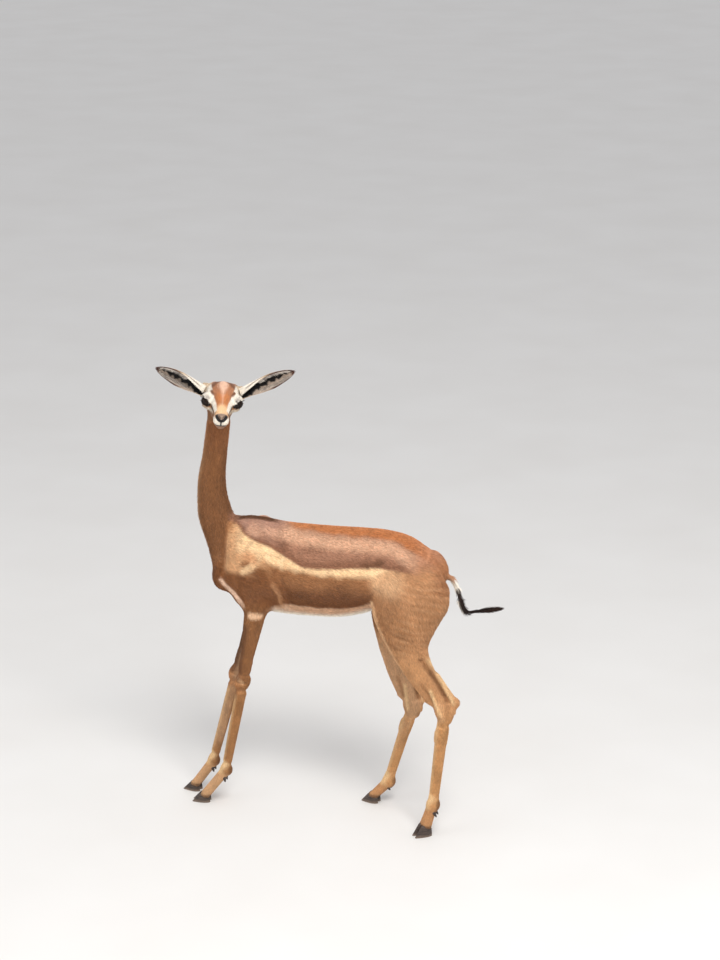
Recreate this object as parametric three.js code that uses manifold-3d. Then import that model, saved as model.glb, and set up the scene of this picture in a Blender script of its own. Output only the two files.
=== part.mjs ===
// A young female gerenuk, life size, standing on four feet with its head turned to look over its left side.
// Millimetres, +Z up. The animal faces -X and its left side faces -Y.
// The origin is on the floor, under the middle of its bounding box.
import * as THREE from "three";
import { mergeVertices } from "three/addons/utils/BufferGeometryUtils.js";
import Module from "manifold-3d";

const wasm = await Module();
wasm.setup();

// Clearances and finish
const GAP = 0.3; // left between two pieces that meet face to face
const MARGIN = 16; // how far a piece is shaped past the place where it is cut
const LEFT = -1;
const RIGHT = 1;
const at = (x, y, z) => new THREE.Vector3(x, y, z);

// Landmarks of the legs, each at the middle of the joint, how many degrees the toes are turned out, and how
// high the horn of the claws reaches
const LEGS = {
  fore_left: {
    side: LEFT,
    elbow: at(-100, -50, 578),
    knee: at(-141, -43, 370),
    fetlock: at(-195, -36, 108),
    hoof: at(-263, -32, 0),
    splay: 8,
    horn: 18,
  },
  fore_right: {
    side: RIGHT,
    elbow: at(-112, 50, 574),
    knee: at(-186, 43, 358),
    fetlock: at(-254, 36, 99),
    hoof: at(-311, 33, 0),
    splay: 6,
    horn: 18,
  },
  hind_left: {
    side: LEFT,
    hip: at(338, -54, 738),
    stifle: at(256, -66, 606),
    hock: at(428, -80, 366),
    heel: at(459, -80, 391),
    fetlock: at(402, -86, 98),
    hoof: at(378, -87, 0),
    splay: 40,
    horn: 26,
  },
  hind_right: {
    side: RIGHT,
    hip: at(330, 54, 738),
    stifle: at(212, 66, 572),
    hock: at(302, 80, 304),
    heel: at(326, 80, 322),
    fetlock: at(236, 85, 72),
    hoof: at(190, 86, 0),
    splay: 10,
    horn: 20,
  },
};
const SHOULDER = at(-186, 42, 668); // the point of the shoulder, on the right side
const BLADE = at(-122, 42, 742); // the middle of the shoulder blade, on the right side

// The barrel of the body: its back line, belly line and half width at places along x
const BARREL = [
  { at: -190, high: 794, low: 624, half: 48 },
  { at: -150, high: 830, low: 596, half: 62 },
  { at: -100, high: 835, low: 577, half: 71 },
  { at: -30, high: 827, low: 570, half: 79 },
  { at: 50, high: 825, low: 571, half: 85 },
  { at: 125, high: 826, low: 576, half: 86 },
  { at: 190, high: 828, low: 592, half: 82 },
  { at: 250, high: 827, low: 620, half: 77 },
  { at: 310, high: 815, low: 648, half: 71 },
  { at: 365, high: 784, low: 668, half: 56 },
];
const BARREL_ENDS = [36, 53]; // how far the rounded chest and rump reach past the first and last place

// The neck: its back, its front and its half width at heights along z
const NECK = [
  { at: 690, high: -110, low: -218, half: 44 },
  { at: 755, high: -122, low: -248, half: 43 },
  { at: 815, high: -160, low: -268, half: 39 },
  { at: 868, high: -186, low: -272, half: 34 },
  { at: 930, high: -194, low: -269, half: 31 },
  { at: 1000, high: -190, low: -256, half: 29 },
  { at: 1070, high: -183, low: -247, half: 28 },
  { at: 1130, high: -178, low: -242, half: 29 },
  { at: 1160, high: -178, low: -238, half: 30 },
];
const NECK_ENDS = [30, 26];
const NECK_TURN = 10; // how far the top of the neck stands towards the right, behind the turned head

// Thigh and gaskin: how far they reach behind and before the line of the bones, and their half width,
// as measured on the left leg, whose gaskin leans more.
// The share is 0 at the hip, 1 at the stifle and 2 at the hock.
const HAUNCH = [
  { share: 0.0, behind: 70, before: 64, half: 30 },
  { share: 0.25, behind: 114, before: 74, half: 37 },
  { share: 0.47, behind: 136, before: 67, half: 40 },
  { share: 0.7, behind: 152, before: 54, half: 40 },
  { share: 0.97, behind: 156, before: 28, half: 38 },
  { share: 1.13, behind: 118, before: 33, half: 35 },
  { share: 1.28, behind: 79, before: 38, half: 31 },
  { share: 1.4, behind: 61, before: 42, half: 27 },
  { share: 1.53, behind: 52, before: 43, half: 23 },
  { share: 1.7, behind: 50, before: 43, half: 19 },
  { share: 1.88, behind: 50, before: 37, half: 16 },
];

// The head has its own axes: forward to the nose, left to its own left, and up
const HEAD_AT = at(-202, 8, 1163);
const HEAD_TURN = THREE.MathUtils.degToRad(107.8); // from looking ahead to looking over the left side
const HEAD_DIP = THREE.MathUtils.degToRad(-0.5);
const HEAD_TILT = THREE.MathUtils.degToRad(-6.5); // its left eye stands a little lower than its right one
const SKULL = [
  { at: 2, high: 18, low: -30, half: 26 },
  { at: 22, high: 39, low: -42, half: 34 },
  { at: 46, high: 49, low: -46, half: 37 },
  { at: 74, high: 45, low: -44, half: 35 },
  { at: 100, high: 32, low: -41, half: 28 },
  { at: 126, high: 19, low: -39, half: 22 },
  { at: 152, high: 8, low: -38, half: 18.5 },
  { at: 178, high: -2, low: -39, half: 17 },
];
const SKULL_ENDS = [20, 17];
const EYE = at(83, 39.5, 2); // the middle of the left eyeball
const EYE_RADIUS = 15;
const LID = 3.2; // how far the lids stand out from the eyeball
const EAR_ROOT = at(24, 36, 17);
const EARS = {
  left: { side: 1, tip: at(8, 182, 84), open: at(0.86, -0.04, -0.51) },
  right: { side: -1, tip: at(-12, -178, 51), open: at(0.86, 0.16, -0.48) },
};
const EAR_WALL = 2.6;

// The tail hangs from the rump and kicks backwards, and ends in a tuft
const TAIL = [
  { at: at(398, 0, 722), radius: 13 },
  { at: at(428, 0, 708), radius: 9.5 },
  { at: at(443, -1, 685), radius: 8 },
  { at: at(451, -2, 656), radius: 7 },
  { at: at(458, -3, 634), radius: 5.5 },
  { at: at(471, -4, 621), radius: 4 },
  { at: at(495, -6, 625), radius: 3 },
  { at: at(530, -8, 633), radius: 3 },
];
const BEND = 4.45 / 7; // the share of the tail's length at which its hanging part and its tuft are parted
const TAIL_TIP = at(573, -9, 643);

// The parting planes of the neck
const NECK_FOOT = { point: at(-222, 0, 840), normal: at(-0.62, 0, 0.785).normalize() };
const NECK_HEAD = { along: at(8, 0, -20), normal: at(0.81, 0, 0.587).normalize() };

// Small sums
const clamp = THREE.MathUtils.clamp;
const mix = THREE.MathUtils.lerp;
const smoothstep = THREE.MathUtils.smoothstep;
const mirrored = (p, side) => at(p.x, Math.abs(p.y) * side, p.z);

// A smooth curve through the values that a list of places gives for one of their sizes
function profile(places, size) {
  if (places[0][size] === undefined) return () => 0;
  const slope = places.map((here, i) => {
    const before = places[Math.max(i - 1, 0)];
    const after = places[Math.min(i + 1, places.length - 1)];
    return (after[size] - before[size]) / (after.at - before.at);
  });
  return (x) => {
    let i = 0;
    while (i < places.length - 2 && x > places[i + 1].at) i += 1;
    const [a, b] = [places[i], places[i + 1]];
    const span = b.at - a.at;
    const t = clamp((x - a.at) / span, 0, 1);
    const u = 1 - t;
    const ends = a[size] * u * u * (1 + 2 * t) + b[size] * t * t * (3 - 2 * t);
    return ends + span * t * u * (slope[i] * u - slope[i + 1] * t);
  };
}

// Fields: each is a function of a point, below 0 inside the form and close to the distance outside it
function blended(reach, ...fields) {
  return (p) => {
    let least = Infinity;
    for (const field of fields) {
      const d = field(p);
      const near = Math.max(reach - Math.abs(least - d), 0) / reach;
      least = Math.min(least, d) - (near * near * reach) / 4;
    }
    return least;
  };
}

// A taper with round ends; thin narrows it sideways
function taper(a, b, ra, rb, thin = 1) {
  const [bx, by, bz] = [b.x - a.x, (b.y - a.y) / thin, b.z - a.z];
  const square = bx * bx + by * by + bz * bz;
  return (p) => {
    const [x, y, z] = [p.x - a.x, (p.y - a.y) / thin, p.z - a.z];
    const t = clamp((x * bx + y * by + z * bz) / square, 0, 1);
    return Math.hypot(x - t * bx, y - t * by, z - t * bz) - mix(ra, rb, t);
  };
}

// An ellipsoid, leaned about the y axis by some degrees
function blob(centre, rx, ry, rz, lean = 0) {
  const [c, s] = [Math.cos(THREE.MathUtils.degToRad(lean)), Math.sin(THREE.MathUtils.degToRad(lean))];
  return (p) => {
    const [dx, dy, dz] = [p.x - centre.x, p.y - centre.y, p.z - centre.z];
    const [x, y, z] = [(dx * c - dz * s) / rx, dy / ry, (dx * s + dz * c) / rz];
    const r = Math.hypot(x, y, z);
    const g = Math.hypot(x / rx, y / ry, z / rz);
    return g < 1e-6 ? -Math.min(rx, ry, rz) : (r * (r - 1)) / g;
  };
}

// A barrel along the x axis, whose section is an oval that narrows towards its high side
function barrel(places, ends, narrowing) {
  const [high, low, half, shift] = ["high", "low", "half", "shift"].map((size) => profile(places, size));
  const [first, last] = [places[0].at, places[places.length - 1].at];
  return (p) => {
    const x = clamp(p.x, first, last);
    const over = p.x < first ? (first - p.x) / ends[0] : (p.x - x) / ends[1];
    const tall = (high(x) - low(x)) / 2;
    const v = (p.z - (high(x) + low(x)) / 2) / tall;
    const wide = half(x) * (1 - narrowing * clamp(v, -1, 1));
    const side = (p.y - shift(x)) / wide;
    const r = Math.hypot(v, side, over);
    const g = Math.hypot(v / tall, side / wide, over / (p.x < first ? ends[0] : ends[1]));
    return g < 1e-6 ? -Math.min(tall, wide) : (r * (r - 1)) / g;
  };
}

// A barrel that stands up: its places are heights along z, and it reaches from low to high along x
function pillar(places, ends, narrowing = 0) {
  const lying = barrel(places, ends, narrowing);
  return (p) => lying({ x: p.z, y: p.y, z: p.x });
}

function mix3(a, b, t) {
  return a.clone().lerp(b, t);
}

// The thigh and gaskin follow the bones from hip to stifle to hock
const SLANT_OF_LEFT = 1.23;
function haunch({ hip, stifle, hock }) {
  const slant = stifle.distanceTo(hock) / (stifle.z - hock.z);
  const places = HAUNCH.map(({ share, behind, before, half }) => {
    const bone = share < 1 ? mix3(hip, stifle, share) : mix3(stifle, hock, share - 1);
    const reach = slant / SLANT_OF_LEFT;
    return { at: bone.z, high: bone.x + behind * reach, low: bone.x - before * reach, half, shift: bone.y };
  });
  return pillar(places.reverse(), [20, 26]);
}

// The shoulder blade, the point of the shoulder and the upper arm
function shoulder(side) {
  return blended(
    30,
    blob(mirrored(BLADE, side), 46, 26, 84, 20),
    blob(mirrored(SHOULDER, side), 34, 26, 36),
    blob(at(-106, side * 46, 640), 60, 28, 52, -24),
  );
}

// A foreleg from the upper arm to the coronet
function foreleg(leg) {
  const { elbow, knee, fetlock } = leg;
  const cannon = mix3(knee, fetlock, 0.12);
  return blended(
    9,
    taper(elbow.clone().add(at(4, 0, 22)), mix3(elbow, knee, 0.8), 33, 15.5, 0.74),
    taper(mix3(elbow, knee, 0.7), knee, 15.5, 16, 0.86),
    blob(knee.clone().add(at(-1, 0, 0)), 20, 17.5, 27, 14),
    blob(knee.clone().add(at(13, 0, 8)), 9, 9, 13, 14),
    taper(cannon, mix3(knee, fetlock, 0.9), 14.5, 12, 0.86),
    taper(cannon.clone().add(at(6, 0, 0)), fetlock.clone().add(at(5, 0, 6)), 9, 8, 0.8),
    ...pastern(leg),
  );
}

// The fetlock and the two digits under it
const UP = at(0, 0, 1);
const turnOut = ({ side, splay }) => THREE.MathUtils.degToRad(-side * splay);
function pastern(leg) {
  const { fetlock, hoof } = leg;
  const parts = [blob(fetlock, 14.5, 15, 19, 10), blob(fetlock.clone().add(at(8, 0, -6)), 10.5, 12, 13)];
  for (const offset of [-8, 8]) {
    const top = fetlock.clone().add(at(-1, offset * 0.6, -8));
    const bottom = at(5, offset, leg.horn).applyAxisAngle(UP, turnOut(leg)).add(hoof);
    parts.push(taper(top, bottom, 13, 13, 0.88));
  }
  return parts;
}

// A hind leg from the hip to the coronet
function hindleg(leg) {
  const { stifle, hock, heel, fetlock } = leg;
  return blended(
    12,
    haunch(leg),
    taper(mix3(stifle, hock, 0.66), hock, 19, 17, 0.8),
    taper(mix3(stifle, heel, 0.7).add(at(6, 0, 0)), heel, 11, 9, 0.85),
    taper(heel, hock.clone().add(at(10, 0, -22)), 11, 13, 0.9),
    blob(hock, 24, 18, 25, 20),
    taper(hock.clone().add(at(3, 0, -12)), mix3(hock, fetlock, 0.3), 17, 14, 0.84),
    taper(mix3(hock, fetlock, 0.25), mix3(hock, fetlock, 0.92), 14, 12.2, 0.88),
    taper(mix3(hock, fetlock, 0.2).add(at(8, 0, 0)), fetlock.clone().add(at(5, 0, 6)), 9.5, 8, 0.8),
    ...pastern(leg),
  );
}

for (const place of NECK) place.shift = NECK_TURN * smoothstep(place.at, 930, 1150);
const neck = pillar(NECK, NECK_ENDS);

// The head, in its own axes
const headAxes = new THREE.Matrix4()
  .makeRotationZ(Math.PI + HEAD_TURN)
  .multiply(new THREE.Matrix4().makeRotationY(HEAD_DIP))
  .multiply(new THREE.Matrix4().makeRotationX(HEAD_TILT))
  .setPosition(HEAD_AT);
const headInverse = headAxes.clone().invert();
const onHead = (p) => p.clone().applyMatrix4(headAxes);
const lookOfHead = (p) => p.clone().transformDirection(headAxes);
const pair = (make) => [make(1), make(-1)];
const toSide = (p, side) => at(p.x, p.y * side, p.z);

const headForm = blended(
  10,
  barrel(SKULL, SKULL_ENDS, -0.12),
  ...pair((side) => blob(toSide(at(60, 17, -24), side), 38, 11, 22, 12)), // jaw
  ...pair((side) => blob(toSide(at(74, 33, -9), side), 26, 12, 9, 12)), // cheekbone
  ...pair((side) => blob(toSide(at(48, 25, 27), side), 32, 15, 17)), // temple
  ...pair((side) => blob(toSide(at(76, 35, 15), side), 20, 15, 11, -10)), // brow
  ...pair((side) => blob(toSide(EYE, side), EYE_RADIUS + LID, EYE_RADIUS + LID, EYE_RADIUS + LID)),
  ...pair((side) => taper(toSide(EAR_ROOT, side), toSide(at(20, 47, 21), side), 17, 11)),
  ...pair((side) => blob(toSide(at(177, 10.5, -19), side), 17, 9.5, 12, 12)), // upper lip
  blob(at(186, 0, -12), 10, 13, 10), // nose pad
  blob(at(169, 0, -37), 18, 10, 7, -4), // chin
);
const head = (p) => headForm(at(p.x, p.y, p.z).applyMatrix4(headInverse));

const trunk = blended(26, barrel(BARREL, BARREL_ENDS, 0.14), shoulder(LEFT), shoulder(RIGHT));
const body = blended(
  24,
  blended(34, trunk, neck),
  blended(2, foreleg(LEGS.fore_left), foreleg(LEGS.fore_right)),
  blended(2, hindleg(LEGS.hind_left), hindleg(LEGS.hind_right)),
);
const whole = blended(16, body, head);

// Meshes
const clipped = (field, ...limits) => (p) => Math.max(field(p), ...limits.map((limit) => limit(p)));
const above = ({ point, normal }) => (p) =>
  (p.x - point.x) * normal.x + (p.y - point.y) * normal.y + (p.z - point.z) * normal.z;

function slopeOf(field, p) {
  const step = 0.5;
  const d = (axis) => {
    const [a, b] = [{ ...p }, { ...p }];
    a[axis] += step;
    b[axis] -= step;
    return (field(a) - field(b)) / (2 * step);
  };
  return at(d("x"), d("y"), d("z"));
}

// Moves a point to where the field is level
function settled(field, start, level, furthest) {
  const p = start.clone();
  for (let round = 0; round < 4; round += 1) {
    const slope = slopeOf(field, { x: p.x, y: p.y, z: p.z });
    const steep = Math.max(slope.lengthSq(), 0.05);
    p.addScaledVector(slope, (level - field(p)) / steep);
  }
  return p.distanceTo(start) < furthest ? p : start;
}

// Wraps the form in one closed mesh, with a vertex in each cell of the lattice that its surface crosses.
// The lattice has counts of cells along i, j and k, and a function that places its corners.
// With a swell, the same mesh stands that much proud of the surface.
function skin(field, { counts, corner }, swell = 0) {
  const [ni, nj, nk] = counts;
  const place = (i, j, k) => (i * (nj + 1) + j) * (nk + 1) + k;
  const corners = [];
  const values = new Float64Array((ni + 1) * (nj + 1) * (nk + 1));
  for (let i = 0; i <= ni; i += 1)
    for (let j = 0; j <= nj; j += 1)
      for (let k = 0; k <= nk; k += 1) {
        const p = corner(i, j, k);
        const rim = i === 0 || j === 0 || k === 0 || i === ni || j === nj || k === nk;
        corners.push(p);
        values[place(i, j, k)] = rim ? Math.max(field(p), 0.5) : field(p);
      }
  untangle(values, counts, place);
  const vertices = [];
  const vertexOf = new Map();
  const steps = [0, 1].flatMap((a) => [0, 1].flatMap((b) => [0, 1].map((c) => [a, b, c])));
  const edges = steps.flatMap((a, m) =>
    steps.map((b, n) => [a, b, m, n]).filter(([c, d, , n]) => n > m && c.filter((v, x) => v !== d[x]).length === 1),
  );
  for (let i = 0; i < ni; i += 1)
    for (let j = 0; j < nj; j += 1)
      for (let k = 0; k < nk; k += 1) {
        const middle = at(0, 0, 0);
        let crossings = 0;
        for (const [a, b] of edges) {
          const m = place(i + a[0], j + a[1], k + a[2]);
          const n = place(i + b[0], j + b[1], k + b[2]);
          if (values[m] < 0 === values[n] < 0) continue;
          middle.add(mix3(corners[m], corners[n], values[m] / (values[m] - values[n])));
          crossings += 1;
        }
        if (!crossings) continue;
        middle.divideScalar(crossings);
        const reach = 0.5 * corner(i, j, k).distanceTo(corner(i + 1, j + 1, k + 1));
        vertexOf.set(place(i, j, k), vertices.length);
        vertices.push(settled(field, middle, swell, reach));
      }
  const faces = [];
  const wrap = (m, n, ring) => {
    if (values[m] < 0 === values[n] < 0) return;
    const [a, b, c, d] = ring.map((cell) => vertexOf.get(place(...cell)));
    const quad = values[m] < 0 ? [a, b, c, d] : [d, c, b, a];
    const [p, q, r, s] = quad.map((v) => vertices[v]);
    if (p.distanceTo(r) < q.distanceTo(s)) faces.push(quad[0], quad[1], quad[2], quad[0], quad[2], quad[3]);
    else faces.push(quad[1], quad[2], quad[3], quad[1], quad[3], quad[0]);
  };
  for (let i = 0; i < ni; i += 1)
    for (let j = 0; j < nj; j += 1)
      for (let k = 0; k < nk; k += 1) {
        const here = place(i, j, k);
        if (j && k) wrap(here, place(i + 1, j, k), [[i, j - 1, k - 1], [i, j, k - 1], [i, j, k], [i, j - 1, k]]);
        if (i && k) wrap(here, place(i, j + 1, k), [[i - 1, j, k - 1], [i - 1, j, k], [i, j, k], [i, j, k - 1]]);
        if (i && j) wrap(here, place(i, j, k + 1), [[i - 1, j - 1, k], [i, j - 1, k], [i, j, k], [i - 1, j, k]]);
      }
  return meshOf(vertices, faces);
}

// Where the four corners of a lattice face lie in and out by turns, the one nearest the surface changes sides,
// so that no edge of the mesh is shared by four faces
function untangle(values, [ni, nj, nk], place) {
  const turns = [
    [[0, 0, 0], [0, 1, 0], [0, 1, 1], [0, 0, 1]],
    [[0, 0, 0], [1, 0, 0], [1, 0, 1], [0, 0, 1]],
    [[0, 0, 0], [1, 0, 0], [1, 1, 0], [0, 1, 0]],
  ];
  let found = true;
  while (found) {
    found = false;
    for (let i = 0; i < ni; i += 1)
      for (let j = 0; j < nj; j += 1)
        for (let k = 0; k < nk; k += 1)
          for (const turn of turns) {
            const ring = turn.map(([a, b, c]) => place(i + a, j + b, k + c));
            const inside = ring.map((n) => values[n] < 0);
            if (inside[0] !== inside[2] || inside[1] !== inside[3] || inside[0] === inside[1]) continue;
            const outer = ring.filter((n) => values[n] >= 0);
            const nearest = values[outer[0]] < values[outer[1]] ? outer[0] : outer[1];
            values[nearest] = -0.1;
            found = true;
          }
  }
}

function meshOf(vertices, faces) {
  const geometry = new THREE.BufferGeometry();
  geometry.setAttribute("position", new THREE.Float32BufferAttribute(vertices.flatMap((v) => [v.x, v.y, v.z]), 3));
  geometry.setIndex(faces);
  return geometry;
}

// Joins closed rings of equal count into a closed mesh, with a fan at each end
function loft(rings) {
  const count = rings[0].length;
  const vertices = rings.flat();
  const faces = [];
  for (let r = 0; r + 1 < rings.length; r += 1)
    for (let i = 0; i < count; i += 1) {
      const [a, b] = [r * count + i, r * count + ((i + 1) % count)];
      faces.push(a, b, b + count, a, b + count, a + count);
    }
  for (const [ring, turn] of [[rings[0], true], [rings[rings.length - 1], false]]) {
    const first = turn ? 0 : (rings.length - 1) * count;
    const hub = vertices.length;
    vertices.push(ring.reduce((sum, p) => sum.add(p), at(0, 0, 0)).divideScalar(count));
    for (let i = 0; i < count; i += 1) {
      const [a, b] = [first + i, first + ((i + 1) % count)];
      faces.push(...(turn ? [b, a, hub] : [a, b, hub]));
    }
  }
  return meshOf(vertices, faces);
}

// A tube through points, with an oval section that is wide along the direction called across
function tube(points, sizeAt, across, sides = 6) {
  const last = points.length - 1;
  const rings = points.map((p, i) => {
    const ahead = points[Math.min(i + 1, last)].clone().sub(points[Math.max(i - 1, 0)]).normalize();
    const wideway = across.clone().addScaledVector(ahead, -across.dot(ahead)).normalize();
    const thickway = ahead.clone().cross(wideway);
    const [wide, thick] = sizeAt(i / last);
    return Array.from({ length: sides }, (_, s) => {
      const turn = (2 * Math.PI * s) / sides;
      return p.clone().addScaledVector(wideway, wide * Math.cos(turn)).addScaledVector(thickway, thick * Math.sin(turn));
    });
  });
  return loft(rings);
}

// Solids, for cutting and joining
function solid(geometry) {
  const bare = geometry.clone();
  for (const name of ["normal", "uv"]) bare.deleteAttribute(name);
  const merged = mergeVertices(bare, 1e-4);
  return new wasm.Manifold(
    new wasm.Mesh({
      numProp: 3,
      vertProperties: merged.attributes.position.array,
      triVerts: new Uint32Array(merged.index.array),
    }),
  );
}

function largest(made) {
  const bodies = made.decompose().sort((a, b) => b.volume() - a.volume());
  return bodies[0];
}

function geometryOf(made) {
  const mesh = made.getMesh();
  const geometry = new THREE.BufferGeometry();
  geometry.setAttribute("position", new THREE.BufferAttribute(mesh.vertProperties, 3));
  geometry.setIndex(new THREE.BufferAttribute(mesh.triVerts, 1));
  const faceted = geometry.toNonIndexed();
  faceted.computeVertexNormals();
  return faceted;
}

// Everything on the far side of a plane, as a large block set back by half a gap
function beyond({ point, normal }, way) {
  const size = 900;
  const block = new THREE.BoxGeometry(size, size, size);
  const facing = normal.clone().multiplyScalar(way);
  block.applyQuaternion(new THREE.Quaternion().setFromUnitVectors(at(0, 0, 1), facing));
  const centre = point.clone().addScaledVector(facing, size / 2 - GAP / 2);
  block.translate(centre.x, centre.y, centre.z);
  return solid(block);
}

// The block in front of and behind which a leg is parted from the trunk, drawn across the animal and run along it
function legBlock(outline, side, front, back, grow) {
  const points = outline.map(([y, z]) => new THREE.Vector2((y - grow) * side, z + grow));
  const shape = new THREE.Shape(side > 0 ? points : points.reverse());
  const block = new THREE.ExtrudeGeometry(shape, { depth: back - front + 2 * grow, bevelEnabled: false });
  block.applyMatrix4(new THREE.Matrix4().makeBasis(at(0, 1, 0), at(0, 0, 1), at(1, 0, 0)));
  block.translate(front - grow, 0, 0);
  return solid(block);
}
const FAR_OUT = 190;
const UNDER = -60;
const FORE_BLOCK = [[5, 574], [5, UNDER], [FAR_OUT, UNDER], [FAR_OUT, 700]];
const HIND_BLOCK = [[5, 604], [5, UNDER], [FAR_OUT, UNDER], [FAR_OUT, 868]];
const BLOCKS = {
  fore_left: [FORE_BLOCK, -370, -40],
  fore_right: [FORE_BLOCK, -370, -40],
  hind_left: [HIND_BLOCK, 196, 500],
  hind_right: [HIND_BLOCK, 130, 500],
};

// Lattices
// One along the trunk, finer towards chest and rump
const bunched = (t) => t - Math.sin(2 * Math.PI * t) / 12;
const lengthwise = (low, high, counts) => ({
  counts,
  corner: (i, j, k) =>
    at(
      mix(low.x, high.x, bunched(i / counts[0])),
      mix(low.y, high.y, j / counts[1]),
      mix(low.z, high.z, k / counts[2]),
    ),
});

// A lattice that stands up along a limb: rows give its middle and its half spans at heights
function upright(rows, across, along, step) {
  const size = ["x", "y", "spanX", "spanY"].map((name) => profile(rows, name));
  const [low, high] = [rows[0].at, rows[rows.length - 1].at];
  const count = Math.round((high - low) / step);
  return {
    counts: [across, along, count],
    corner: (i, j, k) => {
      const z = mix(low, high, k / count);
      const [x, y, spanX, spanY] = size.map((curve) => curve(z));
      return at(x + spanX * ((2 * i) / across - 1), y + spanY * ((2 * j) / along - 1), z);
    },
  };
}

// A row of a lattice at a landmark
const row = (p, spanX, spanY, lift = 0, shift = 0) => ({
  at: p.z + lift,
  x: p.x + shift,
  y: p.y,
  spanX,
  spanY,
});

function foreLattice({ hoof, fetlock, knee, elbow }) {
  const rows = [
    row(hoof, 34, 30, 6, 8),
    row(mix3(hoof, fetlock, 0.5), 34, 30),
    row(fetlock, 32, 30),
    row(mix3(fetlock, knee, 0.4), 32, 30),
    row(knee, 38, 32),
    row(mix3(knee, elbow, 0.5), 44, 38),
    row(elbow, 82, 50, 0, -20),
    row(elbow, 130, 56, 140, -50),
  ];
  return upright(rows, 8, 7, 17);
}

function hindLattice({ hoof, fetlock, hock, stifle, hip }) {
  const rows = [
    row(hoof, 36, 30, 6, 8),
    row(mix3(hoof, fetlock, 0.5), 36, 30),
    row(fetlock, 36, 30),
    row(mix3(fetlock, hock, 0.5), 40, 32, 0, 4),
    row(hock, 58, 34, 0, 6),
    row(mix3(hock, stifle, 0.35), 80, 38, 0, 12),
    row(mix3(hock, stifle, 0.7), 104, 48, 0, 30),
    row(stifle, 136, 56, 0, 56),
    row(hip, 150, 64, 0, -6),
    row(hip, 150, 64, 100, -6),
  ];
  return upright(rows, 9, 7, 19);
}

// The head's lattice is finer towards the nose
const headLattice = (() => {
  const counts = [24, 15, 14];
  const [back, front] = [-44, 208];
  return {
    counts,
    corner: (i, j, k) => {
      const t = i / counts[0];
      const along = mix(back, front, t * (1.28 - 0.28 * t));
      const fine = mix(1, 0.52, smoothstep(along, 80, 150));
      const middle = mix(-2, -20, smoothstep(along, 80, 160));
      const across = 68 * fine * ((2 * j) / counts[1] - 1);
      const up = middle + 62 * fine * ((2 * k) / counts[2] - 1);
      return onHead(at(along, across, up));
    },
  };
})();

// Nodes
const COLOURS = {
  saddle: { color: 0x8f5a3c, roughness: 0.75 },
  tan: { color: 0xb98552, roughness: 0.8 },
  neck: { color: 0x96613d, roughness: 0.8 },
  face: { color: 0xc08a5a, roughness: 0.8 },
  ear: { color: 0xb99878, roughness: 0.85 },
  horn: { color: 0x26211f, roughness: 0.5 },
  hair: { color: 0x1c1613, roughness: 0.8 },
  eye: { color: 0x120c08, roughness: 0.08 },
};
const animal = new THREE.Group();
animal.name = "gerenuk";
function add(name, made, colour) {
  const material = new THREE.MeshStandardMaterial({ ...COLOURS[colour], metalness: 0 });
  const mesh = new THREE.Mesh(geometryOf(largest(made)), material);
  mesh.name = name;
  animal.add(mesh);
}

// Torso
const headParting = {
  point: onHead(NECK_HEAD.along),
  normal: lookOfHead(NECK_HEAD.normal),
};
const overNeckFoot = above(NECK_FOOT);
const overHeadParting = above(headParting);
const torsoField = clipped(body, (p) => overNeckFoot(p) - MARGIN, (p) => 540 - p.z);
const torsoLattice = lengthwise(at(-282, -116, 526), at(446, 116, 912), [27, 11, 18]);
let torso = solid(skin(torsoField, torsoLattice)).subtract(beyond(NECK_FOOT, 1));
for (const [name, [outline, front, back]] of Object.entries(BLOCKS))
  torso = torso.subtract(legBlock(outline, LEGS[name].side, front, back, GAP));
add("torso", torso, "saddle");

// Neck
const neckRows = [
  { at: 770, x: -212, y: 0, spanX: 84, spanY: 60 },
  { at: 860, x: -230, y: 0, spanX: 66, spanY: 50 },
  { at: 950, x: -230, y: 2, spanX: 50, spanY: 42 },
  { at: 1060, x: -215, y: 6, spanX: 44, spanY: 40 },
  { at: 1130, x: -211, y: 6, spanX: 52, spanY: 56 },
  { at: 1210, x: -206, y: 4, spanX: 62, spanY: 66 },
];
const neckField = clipped(whole, (p) => overHeadParting(p) - MARGIN, (p) => -overNeckFoot(p) - MARGIN);
const neckSolid = solid(skin(neckField, upright(neckRows, 10, 10, 18)));
add("neck", neckSolid.subtract(beyond(NECK_FOOT, -1)).subtract(beyond(headParting, 1)), "neck");

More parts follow.
